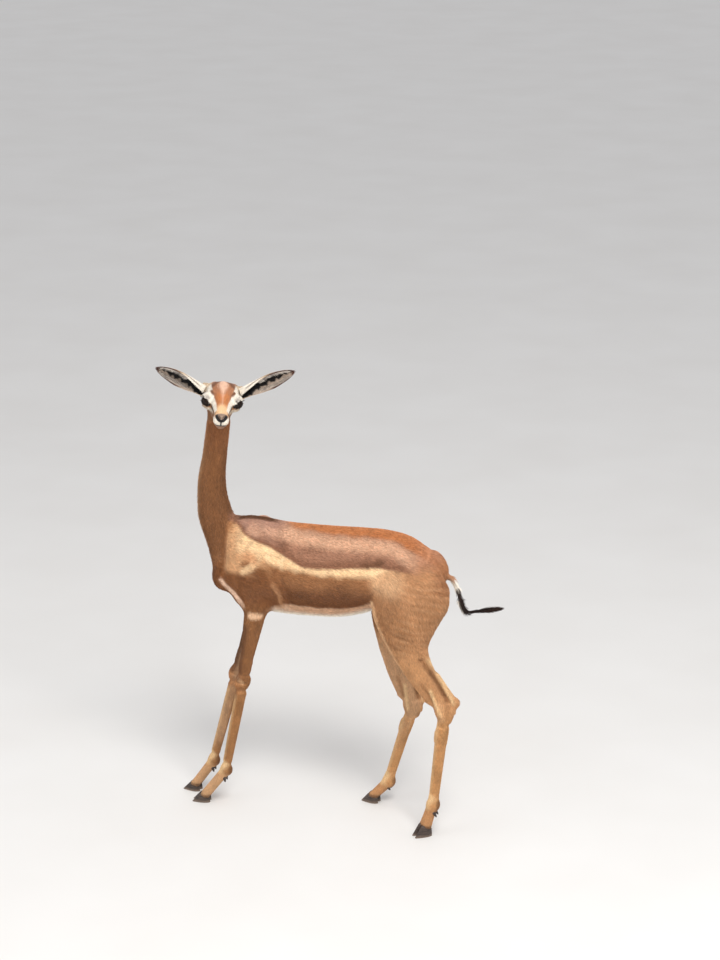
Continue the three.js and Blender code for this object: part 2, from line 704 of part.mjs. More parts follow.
// Legs
const legFields = { fore: foreLattice, hind: hindLattice };
function coronetPlane(leg) {
  const normal = at(0.3, 0, 1).normalize().applyAxisAngle(UP, turnOut(leg));
  return { point: at(4, 0, leg.horn).applyAxisAngle(UP, turnOut(leg)).add(leg.hoof), normal };
}
for (const [name, leg] of Object.entries(LEGS)) {
  const [outline, front, back] = BLOCKS[name];
  const lattice = legFields[name.split("_")[0]](leg);
  const ownSide = (p) => -p.y * leg.side;
  const field = clipped(body, ownSide);
  const limb = solid(skin(field, lattice));
  const coronet = coronetPlane(leg);
  const cut = limb.intersect(legBlock(outline, leg.side, front, back, 0)).subtract(beyond(coronet, -1));
  add(`leg_${name}`, cut, "tan");

  // The horn claws, flat underneath
  for (const [which, offset] of [["outer", leg.side * 8.7], ["inner", leg.side * -8.7]]) {
    const shape = clawShape(offset, leg.horn).rotateZ(turnOut(leg)).translate(leg.hoof.x, leg.hoof.y, 0);
    const claw = solid(shape).subtract(beyond(coronet, 1));
    add(`hoof_${name}_${which}`, claw, "horn");
  }

  // The small dewclaws behind the fetlock
  const around = solid(skin(field, lattice, GAP));
  for (const [which, offset] of [["outer", leg.side * 8], ["inner", leg.side * -8]]) {
    const root = mix3(leg.fetlock, leg.hoof, 0.12).add(at(9, offset, -9));
    const tip = mix3(leg.fetlock, leg.hoof, 0.3).add(at(21, offset * 1.15, -6));
    const points = [root, mix3(root, tip, 0.6), tip];
    const claw = tube(points, (t) => [mix(6, 2.2, t), mix(5, 2, t)], at(0, 1, 0), 6);
    add(`dewclaw_${name}_${which}`, solid(claw).subtract(around), "horn");
  }
}

// One claw: a teardrop with its point at the toe, which leans back as it rises
function clawShape(offset, horn) {
  const sides = 11;
  const rings = [0, 0.5, 1, 1.7].map((share) => {
    const height = share * horn;
    const toe = 33 - 17 * share;
    const heel = 19 - 1.8 * share;
    const half = 8.2 - 0.4 * share;
    return Array.from({ length: sides }, (_, s) => {
      const turn = (2 * Math.PI * s) / sides;
      const forward = Math.max(0, -Math.cos(turn));
      const x = Math.cos(turn) > 0 ? heel * Math.cos(turn) : toe * Math.cos(turn);
      const y = half * Math.sin(turn) * (1 - 0.3 * forward);
      return at(2 + x, offset + y, height);
    });
  });
  return loft(rings);
}

// Head: lids round the eyes, nostrils and the line of the mouth are cut into it
function lens(centre, radii, tilt, roll, yaw) {
  const shape = new THREE.SphereGeometry(1, 20, 10);
  shape.scale(radii.x, radii.y, radii.z);
  shape.rotateX(tilt).rotateY(roll).rotateZ(yaw);
  shape.translate(centre.x, centre.y, centre.z);
  return solid(shape.applyMatrix4(headAxes));
}

function eyeball(side, radius) {
  const ball = new THREE.SphereGeometry(radius, 14, 8);
  const middle = toSide(EYE, side);
  ball.rotateX(Math.PI / 2);
  ball.translate(middle.x, middle.y, middle.z);
  return solid(ball.applyMatrix4(headAxes));
}

const MOUTH = [at(197, 0, -31), at(190, 12, -30), at(172, 22, -27), at(150, 23, -25), at(128, 28, -26)];
function mouthLine(side) {
  const curve = new THREE.CatmullRomCurve3(MOUTH.map((p) => toSide(p, side)));
  const points = curve.getPoints(10).map((p) => settled(head, onHead(p), 0, 14));
  return solid(tube(points, () => [1.3, 1.3], at(0, 0, 1), 5));
}

const onFace = clipped(whole, (p) => -overHeadParting(p) - MARGIN);
let headSolid = solid(skin(onFace, headLattice)).subtract(beyond(headParting, -1));
for (const side of [1, -1]) {
  const eye = toSide(EYE, side);
  headSolid = headSolid
    .subtract(eyeball(side, EYE_RADIUS + GAP))
    .subtract(lens(eye.clone().add(at(8, side * 11, 0)), at(18.5, 13, 6.4), 0, 0.5, side * -0.62))
    .subtract(lens(toSide(at(195, 7.5, -7), side), at(5, 6.2, 2.6), side * 0.85, 0, 0))
    .subtract(mouthLine(side));
}
add("head", headSolid, "face");

for (const [name, side] of [["left", 1], ["right", -1]]) add(`eye_${name}`, eyeball(side, EYE_RADIUS), "eye");

// Ears: a leaf rolled into a cup, nearly a tube at its root and flat at its tip
const EAR = [
  { at: 0, arc: 36, curl: 2.75 },
  { at: 0.15, arc: 33, curl: 2.2 },
  { at: 0.35, arc: 33, curl: 1.5 },
  { at: 0.55, arc: 33, curl: 1.15 },
  { at: 0.75, arc: 25, curl: 0.9 },
  { at: 0.9, arc: 15, curl: 0.75 },
  { at: 1, arc: 4, curl: 0.6 },
];
function ear({ side, tip, open }) {
  const root = toSide(EAR_ROOT, side);
  const ahead = tip.clone().sub(root);
  const length = ahead.length();
  ahead.normalize();
  const opening = open.clone().addScaledVector(ahead, -open.dot(ahead)).normalize();
  const across = ahead.clone().cross(opening);
  const [arc, curl] = ["arc", "curl"].map((size) => profile(EAR, size));
  const [rows, columns] = [12, 8];
  const rings = [];
  for (let r = 0; r <= rows; r += 1) {
    const t = r / rows;
    const radius = arc(t) / curl(t);
    const wall = mix(EAR_WALL, 1.2, t);
    const middle = root.clone().addScaledVector(ahead, length * mix(0.05, 1, t));
    middle.addScaledVector(at(0, 0, 1), 7 * Math.sin(Math.PI * t));
    const leaf = (reach, c) => {
      const turn = curl(t) * (1 - (2 * c) / columns);
      const sink = radius - reach * Math.cos(turn);
      return middle.clone().addScaledVector(across, reach * Math.sin(turn)).addScaledVector(opening, sink);
    };
    const back = Array.from({ length: columns + 1 }, (_, c) => leaf(radius + wall / 2, c));
    const inner = Array.from({ length: columns + 1 }, (_, c) => leaf(radius - wall / 2, c));
    rings.push([...back, ...inner.reverse()]);
  }
  return stripLoft(rings, columns).applyMatrix4(headAxes);
}

// A loft of folded strips, whose two ends are closed across the strip
function stripLoft(rings, columns) {
  const count = rings[0].length;
  const faces = [];
  for (let r = 0; r + 1 < rings.length; r += 1)
    for (let i = 0; i < count; i += 1) {
      const [a, b] = [r * count + i, r * count + ((i + 1) % count)];
      faces.push(a, b, b + count, a, b + count, a + count);
    }
  for (const [first, turn] of [[0, true], [(rings.length - 1) * count, false]])
    for (let c = 0; c < columns; c += 1) {
      const [a, b] = [first + c, first + c + 1];
      const [d, e] = [first + count - 1 - c, first + count - 2 - c];
      faces.push(...(turn ? [b, a, d, b, d, e] : [a, b, e, a, e, d]));
    }
  return meshOf(rings.flat(), faces);
}

const aroundHead = solid(skin(clipped(whole, (p) => -overHeadParting(p) - 40), headLattice, GAP));
for (const [name, spec] of Object.entries(EARS)) {
  let made = solid(ear(spec));
  if (made.volume() < 0) throw new Error("the ear is inside out");
  made = made.subtract(aroundHead);
  add(`ear_${name}`, made, "ear");
}

// Tail: a tapered core with flat locks of hair that lie along it
let seed = 7;
function chance() {
  seed = (seed * 16807) % 2147483647;
  return seed / 2147483647;
}
const tailCurve = new THREE.CatmullRomCurve3(TAIL.map((place) => place.at));
const tailSize = profile(TAIL.map((place, i) => ({ at: i / (TAIL.length - 1), radius: place.radius })), "radius");
const tailPoint = (t) => tailCurve.getPoint(t);

function tailCore(from, to, rows) {
  const points = Array.from({ length: rows + 1 }, (_, i) => tailPoint(mix(from, to, i / rows)));
  return tube(points, (t) => [tailSize(mix(from, to, t)), tailSize(mix(from, to, t))], at(0, 1, 0), 8);
}

// A flat, tapered lock: it leaves the core at a share of its length and a turn about it, and ends at a point
function lock(share, turn, end, wide, lift) {
  const root = tailPoint(share);
  const along = tailCurve.getTangent(share);
  const sideway = at(0, 1, 0).addScaledVector(along, -along.y).normalize();
  const upway = along.clone().cross(sideway);
  const out = sideway.multiplyScalar(Math.cos(turn)).addScaledVector(upway, Math.sin(turn));
  const start = root.clone().addScaledVector(out, 0.3 * tailSize(share));
  const elbow = mix3(start, end, 0.5).addScaledVector(out, lift);
  const curve = new THREE.QuadraticBezierCurve3(start, elbow, end);
  const size = (t) => {
    const full = Math.sin(Math.PI * mix(0.25, 1, t) ** 0.85);
    return [Math.max(wide * full, 0.6), Math.max(0.42 * wide * full, 0.4)];
  };
  return solid(tube(curve.getPoints(4), size, along.clone().cross(out), 5));
}

const GOLDEN = 2.4; // radians from one lock to the next round the tail
const hangingTail = [solid(tailCore(0, BEND, 11))];
for (let i = 0; i < 8; i += 1) {
  const share = mix(0.25, 0.45, i / 7);
  const end = tailPoint(share + 0.15).add(at(3 * Math.cos(GOLDEN * i), 5 * Math.sin(GOLDEN * i), -2));
  hangingTail.push(lock(share, GOLDEN * i, end, mix(6.5, 5.5, chance()), 6));
}
const tuft = [solid(tailCore(BEND + 0.006, 1, 7))];
for (let i = 0; i < 10; i += 1) {
  const share = mix(0.8, 0.97, i / 9);
  const end = TAIL_TIP.clone().add(at(-26 * chance(), 5 * Math.cos(GOLDEN * i), 4 * Math.sin(GOLDEN * i) + 1));
  tuft.push(lock(share, GOLDEN * i, end, mix(5, 6, chance()), 6 + 5 * Math.sin(GOLDEN * i)));
}
const joined = (solids) => solids.reduce((sum, piece) => sum.add(piece));
const bendPlane = { point: tailPoint(BEND), normal: tailCurve.getTangent(BEND) };
const aroundTorso = solid(skin(torsoField, torsoLattice, GAP));
add("tail_hanging", joined(hangingTail).subtract(beyond(bendPlane, 1)).subtract(aroundTorso), "hair");
add("tail_tuft", joined(tuft).subtract(beyond(bendPlane, -1)), "hair");

// The origin goes under the middle of the whole
const box = new THREE.Box3().setFromObject(animal);
const middle = box.getCenter(at(0, 0, 0));
animal.position.set(-middle.x, -middle.y, -box.min.z);

export default animal;
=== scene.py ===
# A young female gerenuk, life size, as a still model: its short glossy coat, face, eyes, ears, hooves and
# tail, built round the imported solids. The animal is measured in millimetres in its own axes: it faces -X, its
# left side faces -Y, and zero is on the floor under the middle of its feet. Finished meshes are in metres.
import math

import bmesh
import bpy
import numpy as np
from mathutils import Matrix, Vector
from mathutils.kdtree import KDTree


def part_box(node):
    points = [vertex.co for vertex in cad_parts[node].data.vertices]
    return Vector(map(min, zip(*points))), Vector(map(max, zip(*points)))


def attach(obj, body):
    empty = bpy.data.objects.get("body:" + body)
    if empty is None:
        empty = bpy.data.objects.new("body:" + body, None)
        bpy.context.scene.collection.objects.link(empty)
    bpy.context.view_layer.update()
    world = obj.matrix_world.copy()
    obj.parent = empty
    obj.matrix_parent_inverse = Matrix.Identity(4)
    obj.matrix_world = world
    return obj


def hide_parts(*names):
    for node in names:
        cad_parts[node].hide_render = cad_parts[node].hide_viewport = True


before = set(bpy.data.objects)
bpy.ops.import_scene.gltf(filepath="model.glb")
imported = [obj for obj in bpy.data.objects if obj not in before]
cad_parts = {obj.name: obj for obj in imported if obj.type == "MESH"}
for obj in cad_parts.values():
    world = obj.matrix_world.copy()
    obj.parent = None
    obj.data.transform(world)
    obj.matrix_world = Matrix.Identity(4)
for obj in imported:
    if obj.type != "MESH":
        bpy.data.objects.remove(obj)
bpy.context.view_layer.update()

# Barrel and shoulders. The trunk of a gerenuk is short, deep at the chest and tucked up at the flank.
# It is one closed form, whose back line, belly line and half width are given along the body. Every form of
# the animal is a field of a point, below zero inside, and the forms flow together where they meet.
BARREL = np.array([
    (-190, 794, 624, 48), (-150, 830, 596, 62), (-100, 835, 577, 71), (-30, 827, 570, 79), (50, 825, 571, 85),
    (125, 826, 576, 86), (190, 828, 592, 82), (250, 827, 620, 77), (310, 815, 648, 71), (365, 784, 668, 56),
], float)
CHEST_AND_RUMP = (36, 53)
LEFT, RIGHT = -1, 1


def at(x, y, z):
    return np.array([x, y, z], float)


def curve_of(places, column):
    """A smooth curve through one column of a list of places."""
    where, value = places[:, 0], places[:, column]
    last = len(where) - 1
    slope = np.array([
        (value[min(i + 1, last)] - value[max(i - 1, 0)]) / (where[min(i + 1, last)] - where[max(i - 1, 0)])
        for i in range(last + 1)
    ])

    def curve(x):
        i = np.clip(np.searchsorted(where, x) - 1, 0, last - 1)
        span = where[i + 1] - where[i]
        t = np.clip((x - where[i]) / span, 0, 1)
        u = 1 - t
        ends = value[i] * u * u * (1 + 2 * t) + value[i + 1] * t * t * (3 - 2 * t)
        return ends + span * t * u * (slope[i] * u - slope[i + 1] * t)

    return curve


def smooth(x, low, high):
    t = np.clip((x - low) / (high - low), 0, 1)
    return t * t * (3 - 2 * t)


def lying(places, ends, narrowing, shift=None):
    """A barrel along x, whose section is an oval that narrows towards its high side."""
    high, low, half = (curve_of(places, column) for column in (1, 2, 3))
    first, last = places[0, 0], places[-1, 0]

    def field(p):
        x = np.clip(p[:, 0], first, last)
        end = np.where(p[:, 0] < first, ends[0], ends[1])
        over = np.abs(p[:, 0] - x) / end
        tall = (high(x) - low(x)) / 2
        v = (p[:, 2] - (high(x) + low(x)) / 2) / tall
        wide = half(x) * (1 - narrowing * np.clip(v, -1, 1))
        side = (p[:, 1] - (shift(x) if shift else 0)) / wide
        r = np.sqrt(v * v + side * side + over * over)
        g = np.sqrt((v / tall) ** 2 + (side / wide) ** 2 + (over / end) ** 2)
        return r * (r - 1) / np.maximum(g, 1e-6)

    return field


def standing(places, ends, shift=None):
    """The same barrel stood on end: its places are heights, and it reaches along x."""
    flat = lying(places, ends, 0, shift)
    return lambda p: flat(p[:, [2, 1, 0]])


def taper(a, b, ra, rb, thin=1):
    a, b = np.array(a, float), np.array(b, float)
    squeeze = at(1, 1 / thin, 1)
    along = (b - a) * squeeze

    def field(p):
        q = (p - a) * squeeze
        t = np.clip(q @ along / (along @ along), 0, 1)
        return np.linalg.norm(q - t[:, None] * along, axis=1) - (ra + (rb - ra) * t)

    return field


def blob(centre, radii, lean=0):
    """An ellipsoid, leaned about the y axis by some degrees."""
    c, s = math.cos(math.radians(lean)), math.sin(math.radians(lean))
    turn = np.array([(c, 0, -s), (0, 1, 0), (s, 0, c)])
    radii = np.array(radii, float)

    def field(p):
        q = ((p - centre) @ turn.T) / radii
        r = np.linalg.norm(q, axis=1)
        return r * (r - 1) / np.maximum(np.linalg.norm(q / radii, axis=1), 1e-6)

    return field


def blended(reach, *fields):
    """Fields that flow together where they come within a reach of each other."""

    def field(p):
        least = fields[0](p)
        for other in fields[1:]:
            d = other(p)
            near = np.maximum(reach - np.abs(least - d), 0) / reach
            least = np.minimum(least, d) - near * near * reach / 4
        return least

    return field


def within(low, high, field, outside=90.0):
    """A field that is only worked out inside a box, and is far away elsewhere."""

    def boxed(p):
        inside = np.all((p > low) & (p < high), axis=1)
        out = np.full(len(p), outside)
        if inside.any():
            out[inside] = field(p[inside])
        return out

    return boxed


def shoulder(side):
    return blended(
        30,
        blob(at(-122, side * 42, 742), (46, 26, 84), 20),
        blob(at(-186, side * 42, 668), (34, 26, 36)),
        blob(at(-106, side * 46, 640), (60, 28, 52), -24),
    )


trunk = within(
    at(-330, -190, 470), at(520, 190, 960),
    blended(26, lying(BARREL, CHEST_AND_RUMP, 0.14), shoulder(LEFT), shoulder(RIGHT)),
)

# Neck. A gerenuk's neck is very long and thin, wider from front to back than across, and at its top it stands
# a little to the right, behind the turned head. It is a standing form that widens into the withers.
NECK = np.array([
    (690, -110, -218, 44), (755, -122, -248, 43), (815, -160, -268, 39), (868, -186, -272, 34),
    (930, -194, -269, 31), (1000, -190, -256, 29), (1070, -183, -247, 28), (1130, -178, -242, 29),
    (1160, -178, -238, 30),
], float)
NECK_TURN = 10
neck = within(
    at(-340, -130, 600), at(-40, 130, 1270),
    standing(NECK, (30, 26), lambda z: NECK_TURN * smooth(z, 930, 1150)),
)

# Forelegs. Each has a muscled forearm, a knee of two rows of small bones, a cannon with its tendons behind
# it, and a fetlock over two digits. The right one stands a little in front of the left.
LEGS = {
    "fore_left": {
        "side": LEFT, "elbow": at(-100, -50, 578), "knee": at(-141, -43, 370), "fetlock": at(-195, -36, 108),
        "hoof": at(-263, -32, 0), "splay": 8, "horn": 18,
    },
    "fore_right": {
        "side": RIGHT, "elbow": at(-112, 50, 574), "knee": at(-186, 43, 358), "fetlock": at(-254, 36, 99),
        "hoof": at(-311, 33, 0), "splay": 6, "horn": 18,
    },
    "hind_left": {
        "side": LEFT, "hip": at(338, -54, 738), "stifle": at(256, -66, 606), "hock": at(428, -80, 366),
        "heel": at(459, -80, 391), "fetlock": at(402, -86, 98), "hoof": at(378, -87, 0),
        "splay": 40, "horn": 26,
    },
    "hind_right": {
        "side": RIGHT, "hip": at(330, 54, 738), "stifle": at(212, 66, 572), "hock": at(302, 80, 304),
        "heel": at(326, 80, 322), "fetlock": at(236, 85, 72), "hoof": at(190, 86, 0),
        "splay": 10, "horn": 20,
    },
}


def between(a, b, share):
    return a + (b - a) * share


def toed_out(leg, p):
    """A place of the foot, given from the middle of the hoof, with the toes turned out."""
    c, s = (f(math.radians(-leg["side"] * leg["splay"])) for f in (math.cos, math.sin))
    x, y, z = np.moveaxis(np.asarray(p, float), -1, 0)
    return np.stack([c * x - s * y, s * x + c * y, z], -1) + leg["hoof"]


def hollowed(form, reach, cutter):
    """A form with a cutter taken out of it, and the edge rounded over."""

    def field(p):
        d, c = form(p), -cutter(p)
        near = np.maximum(reach - np.abs(d - c), 0) / reach
        return np.maximum(d, c) + near * near * reach / 4

    return field


def pastern(leg):
    fetlock = leg["fetlock"]
    parts = [blob(fetlock, (14.5, 15, 19), 10), blob(fetlock + at(8, 0, -6), (10.5, 12, 13))]
    for offset in (-8, 8):
        top = fetlock + at(-1, offset * 0.6, -8)
        parts.append(taper(top, toed_out(leg, (5, offset, leg["horn"])), 13, 13, 0.88))
    return parts


def on_hooves(leg, form):
    """Ends a leg at the slanting top of its claws, with the cleft between the two toes pressed in."""
    top = toed_out(leg, (4, 0, leg["horn"] - 0.8))
    up = toed_out(leg, (4.3, 0, leg["horn"] + 0.2)) - top
    cleft = taper(toed_out(leg, (-26, 0, leg["horn"] - 4)), toed_out(leg, (-15, 0, leg["horn"] + 24)), 5, 2.6)
    return hollowed(hollowed(form, 5, cleft), 3, lambda p: (p - top) @ up / np.linalg.norm(up))


def foreleg(leg):
    elbow, knee, fetlock, hoof = (leg[joint] for joint in ("elbow", "knee", "fetlock", "hoof"))
    cannon = between(knee, fetlock, 0.12)
    form = blended(
        9,
        taper(elbow + at(4, 0, 22), between(elbow, knee, 0.8), 33, 15.5, 0.74),
        taper(between(elbow, knee, 0.7), knee, 15.5, 16, 0.86),
        blob(knee + at(-1, 0, 0), (20, 17.5, 27), 14),
        blob(knee + at(13, 0, 8), (9, 9, 13), 14),
        taper(cannon, between(knee, fetlock, 0.9), 14.5, 12, 0.86),
        taper(cannon + at(6, 0, 0), fetlock + at(5, 0, 6), 9, 8, 0.8),
        *pastern(leg),
    )
    return within(at(hoof[0] - 60, -150, -20), at(elbow[0] + 110, 150, 720), on_hooves(leg, form))


# Hind legs. The thigh is broad and flat, the gaskin tapers to a sharp hock with the heel bone behind it, and
# the cannon below is longer than the one in front. The far leg has stepped forward under the body.
HAUNCH = [
    (0.0, 70, 64, 30), (0.25, 114, 74, 37), (0.47, 136, 67, 40), (0.7, 152, 54, 40), (0.97, 156, 28, 38),
    (1.13, 118, 33, 35), (1.28, 79, 38, 31), (1.4, 61, 42, 27), (1.53, 52, 43, 23), (1.7, 50, 43, 19),
    (1.88, 50, 37, 16),
]
SLANT_OF_LEFT = 1.23


def haunch(hip, stifle, hock):
    reach = np.linalg.norm(stifle - hock) / (stifle[2] - hock[2]) / SLANT_OF_LEFT
    places, middles = [], []
    for share, behind, before, half in reversed(HAUNCH):
        bone = between(hip, stifle, share) if share < 1 else between(stifle, hock, share - 1)
        places.append((bone[2], bone[0] + behind * reach, bone[0] - before * reach, half))
        middles.append((bone[2], bone[1]))
    return standing(np.array(places), (20, 26), curve_of(np.array(middles), 1))


def hindleg(leg):
    hip, stifle, hock, heel, fetlock = (leg[joint] for joint in ("hip", "stifle", "hock", "heel", "fetlock"))
    form = blended(
        12,
        haunch(hip, stifle, hock),
        taper(between(stifle, hock, 0.66), hock, 19, 17, 0.8),
        taper(between(stifle, heel, 0.7) + at(6, 0, 0), heel, 11, 9, 0.85),
        taper(heel, hock + at(10, 0, -22), 11, 13, 0.9),
        blob(hock, (24, 18, 25), 20),
        taper(hock + at(3, 0, -12), between(hock, fetlock, 0.3), 17, 14, 0.84),
        taper(between(hock, fetlock, 0.25), between(hock, fetlock, 0.92), 14, 12.2, 0.88),
        taper(between(hock, fetlock, 0.2) + at(8, 0, 0), fetlock + at(5, 0, 6), 9.5, 8, 0.8),
        *pastern(leg),
    )
    front = min(stifle[0], leg["hoof"][0]) - 110
    return within(at(front, -190, -20), at(520, 190, 860), on_hooves(leg, form))


legs = {name: (foreleg if "elbow" in leg else hindleg)(leg) for name, leg in LEGS.items()}

# Tail. A thin dock of small bones hangs from the rump and kicks back into a black tuft. Each place along it
# has its thickness. Its upper part belongs to the skin, and the rest is built with the hair of the tail.
TAIL = [
    ((398, 0, 722), 13), ((428, 0, 708), 9.5), ((443, -1, 685), 8), ((451, -2, 656), 7),
    ((458, -3, 634), 5.5), ((471, -4, 621), 4), ((495, -6, 625), 3), ((530, -8, 633), 3),
]
dock = within(
    at(360, -40, 610), at(500, 40, 760),
    blended(4, *(taper(a, b, ra - 1.5, rb - 1.5) for (a, ra), (b, rb) in zip(TAIL[:4], TAIL[1:5]))),
)

# Head. It is small and wedge-shaped, with a long flat forehead, large eyes low at its sides and a narrow
# muzzle, turned to look back over the left side. It has its own axes: x to the nose, y to its left, z up.
HEAD_AT = Vector((-202, 8, 1163))
HEAD_TURN, HEAD_DIP, HEAD_TILT = (math.radians(angle) for angle in (180 + 107.8, -0.5, -6.5))
HEAD_TURNED = np.array(
    Matrix.Rotation(HEAD_TURN, 3, "Z") @ Matrix.Rotation(HEAD_DIP, 3, "Y")
    @ Matrix.Rotation(HEAD_TILT, 3, "X")
)
SKULL = np.array([
    (2, 18, -30, 26), (22, 39, -42, 34), (46, 49, -46, 37), (74, 45, -44, 35), (100, 32, -41, 28),
    (126, 19, -39, 22), (152, 8, -38, 18.5), (178, -2, -39, 17),
], float)
EYE = at(83, 39.5, 2)
EYE_RADIUS = 15
LID = 3.2


def on_head(p):
    """From the head's axes to the animal's."""
    return np.asarray(p, float) @ HEAD_TURNED.T + np.array(HEAD_AT)


def in_head(p):
    return (p - np.array(HEAD_AT)) @ HEAD_TURNED


def pair(make):
    return [make(1), make(-1)]


jaws = pair(lambda s: blob(at(60, s * 17, -24), (38, 11, 22), 12))
cheekbones = pair(lambda s: blob(at(74, s * 33, -9), (26, 12, 9), 12))
temples = pair(lambda s: blob(at(48, s * 25, 27), (32, 15, 17)))
brows = pair(lambda s: blob(at(76, s * 35, 15), (20, 15, 11), -10))
lids = pair(lambda s: blob(EYE * at(1, s, 1), (EYE_RADIUS + LID,) * 3))
ear_roots = pair(lambda s: taper(at(24, s * 36, 17), at(20, s * 47, 21), 17, 11))
lips = pair(lambda s: blob(at(177, s * 10.5, -19), (17, 9.5, 12), 12))
skull = blended(
    10, lying(SKULL, (20, 17), -0.12), *jaws, *cheekbones, *temples, *brows, *lids, *ear_roots, *lips,
    blob(at(186, 0, -12), (10, 13, 10)), blob(at(169, 0, -37), (18, 10, 7), -4),
)


def folded(form, lines):
    """A form with soft grooves pressed in, or ridges raised, along lines: points, reach and depth of each."""

    def field(p):
        d = form(p)
        close = np.flatnonzero(np.abs(d) < 24)
        for points, reach, depth in lines:
            points = np.array(points, float)
            q = p[close]
            near = np.all((q > points.min(0) - reach) & (q < points.max(0) + reach), axis=1)
            q = q[near]
            nearest = np.full(len(q), np.inf)
            for a, b in zip(points, points[1:]):
                t = np.clip((q - a) @ (b - a) / ((b - a) @ (b - a)), 0, 1)
                nearest = np.minimum(nearest, np.linalg.norm(q - a - t[:, None] * (b - a), axis=1))
            d[close[near]] += depth * np.clip(1 - (nearest / reach) ** 2, 0, 1) ** 2
        return d

    return field


def turned(centre, yaw, tilt, form):
    """A form turned about its centre: first tilted about the x axis, then swung about the z axis."""
    swing = np.array(Matrix.Rotation(math.radians(yaw), 3, "Z") @ Matrix.Rotation(math.radians(tilt), 3, "X"))
    return lambda p: form((p - centre) @ swing + centre)


MOUTH = [(198, 0, -31), (190, 13, -30), (172, 23, -27), (150, 23, -25), (128, 27, -26)]
face = folded(skull, [
    (MOUTH, 3.4, 3.0),
    ([(x, -y, z) for x, y, z in MOUTH], 3.4, 3.0),
    ([(200, 0, -18), (199, 0, -31)], 2.8, 2.6),
    *pair(lambda s: ([(102, s * 34, -7), (118, s * 24, -12), (126, s * 22, -16)], 5, 2.6)),
    *pair(lambda s: ([(100, s * 21, 18), (150, s * 15, 1)], 10, 1.4)),
    *pair(lambda s: ([(104, s * 27, -20), (150, s * 20, -16)], 9, 1.2)),
    *pair(lambda s: ([(60, s * 34, -26), (112, s * 22, -26)], 10, -1.4)),
    *pair(lambda s: ([(36, s * 34, 38), (64, s * 35, 38)], 17, 3.2)),
    *pair(lambda s: ([(66, s * 55, 17), (82, s * 56, 16), (98, s * 46, 10)], 3.6, 1.4)),
    *pair(lambda s: ([(70, s * 56, -4), (88, s * 55, -10), (100, s * 44, -13)], 3.0, 1.0)),
    *pair(lambda s: ([(180, s * 12, -1), (190, s * 13, -8), (193, s * 12, -14)], 4, 1.2)),
])
for side in (1, -1):
    eye = EYE * at(1, side, 1)
    opening, nostril = eye + at(8, side * 11, 0), at(195, side * 7.5, -7)
    face = hollowed(face, 0.8, blob(eye, (EYE_RADIUS - 0.8,) * 3))
    face = hollowed(face, 1.6, turned(opening, side * -35, 0, blob(opening, (17.5, 12, 4.9), 29)))
    face = hollowed(face, 1.8, turned(nostril, 0, side * 49, blob(nostril, (7, 6.2, 2.4))))
head = within(at(-330, -250, 1040), at(-80, 110, 1290), lambda p: face(in_head(p)))

# Muscles and folds. Under the short coat the shoulder blade, the elbow, the hip, the hollow before the thigh
# and the sinews of the legs all show. Each is a soft groove or ridge along a line on the surface it crosses.
whole_body = blended(
    24,
    blended(34, trunk, neck),
    blended(2, legs["fore_left"], legs["fore_right"]),
    blended(2, legs["hind_left"], legs["hind_right"]),
)


def on_side(form, side, line, y_from=0):
    """Puts a line, seen from the side as x and z, on the outermost surface of one side."""
    depths = np.arange(y_from, 150, 1.0)
    placed_line = []
    for x, z in line:
        column = np.stack([np.full(len(depths), x), side * depths, np.full(len(depths), z)], 1)
        inside = np.flatnonzero(form(column.astype(float)) < 0)
        placed_line.append((x, side * (depths[inside[-1]] if len(inside) else y_from), z))
    return placed_line


TRUNK_FOLDS = [
    ([(-132, 792), (-74, 753), (-107, 714), (-127, 692)], 13, -2.6),
    ([(-100, 772), (-112, 728)], 22, 2.2),
    ([(-183, 850), (-180, 776), (-182, 721), (-190, 664)], 17, 3.4),
    ([(-160, 700), (-150, 650), (-128, 610)], 16, 2.0),
    ([(-22, 745), (-32, 700), (-8, 650), (-8, 612)], 17, 3.6),
    ([(-43, 668), (-22, 640), (-22, 611)], 7, -2.4),
    ([(-86, 700), (-70, 652)], 42, -4.0),
    ([(238, 778), (236, 742), (214, 700)], 36, 5.5),
    ([(288, 786), (300, 770)], 42, -4.0),
    ([(0, 778), (110, 768), (215, 770)], 26, 2.0),
    ([(340, 742), (372, 700), (398, 640), (392, 586)], 17, 2.6),
]
THIGH_FOLDS = [
    ([(226, 664), (232, 643), (247, 583), (276, 529), (318, 462)], 10, -2.0),
    ([(244, 640), (266, 578), (296, 522)], 16, 2.6),
    ([(262, 590), (290, 570), (330, 560)], 12, 2.2),
    ([(274, 552), (312, 540)], 12, -1.6),
]


def on_leg(name, line):
    """Puts a line, seen from the side as x and z, on the outer and on the inner face of one leg."""
    side, depths = LEGS[name]["side"], np.arange(2, 150, 1.0)
    outer, inner = [], []
    for x, z in line:
        column = np.stack([np.full(len(depths), x), side * depths, np.full(len(depths), z)], 1)
        inside = np.flatnonzero(legs[name](column) < 0)
        if len(inside):
            outer.append((x, side * depths[inside[-1]], z))
            inner.append((x, side * depths[inside[0]], z))
    return [face for face in (outer, inner) if len(face) > 1]


def unit(v):
    return v / np.linalg.norm(v)


def along_bone(low, high, places):
    """Places given up a bone and behind it, from its low end, as x and z."""
    up = unit((high - low)[[0, 2]])
    back = at(up[1], -up[0], 0)[:2]
    return [tuple(low[[0, 2]] + up * a + back * b) for a, b in places]


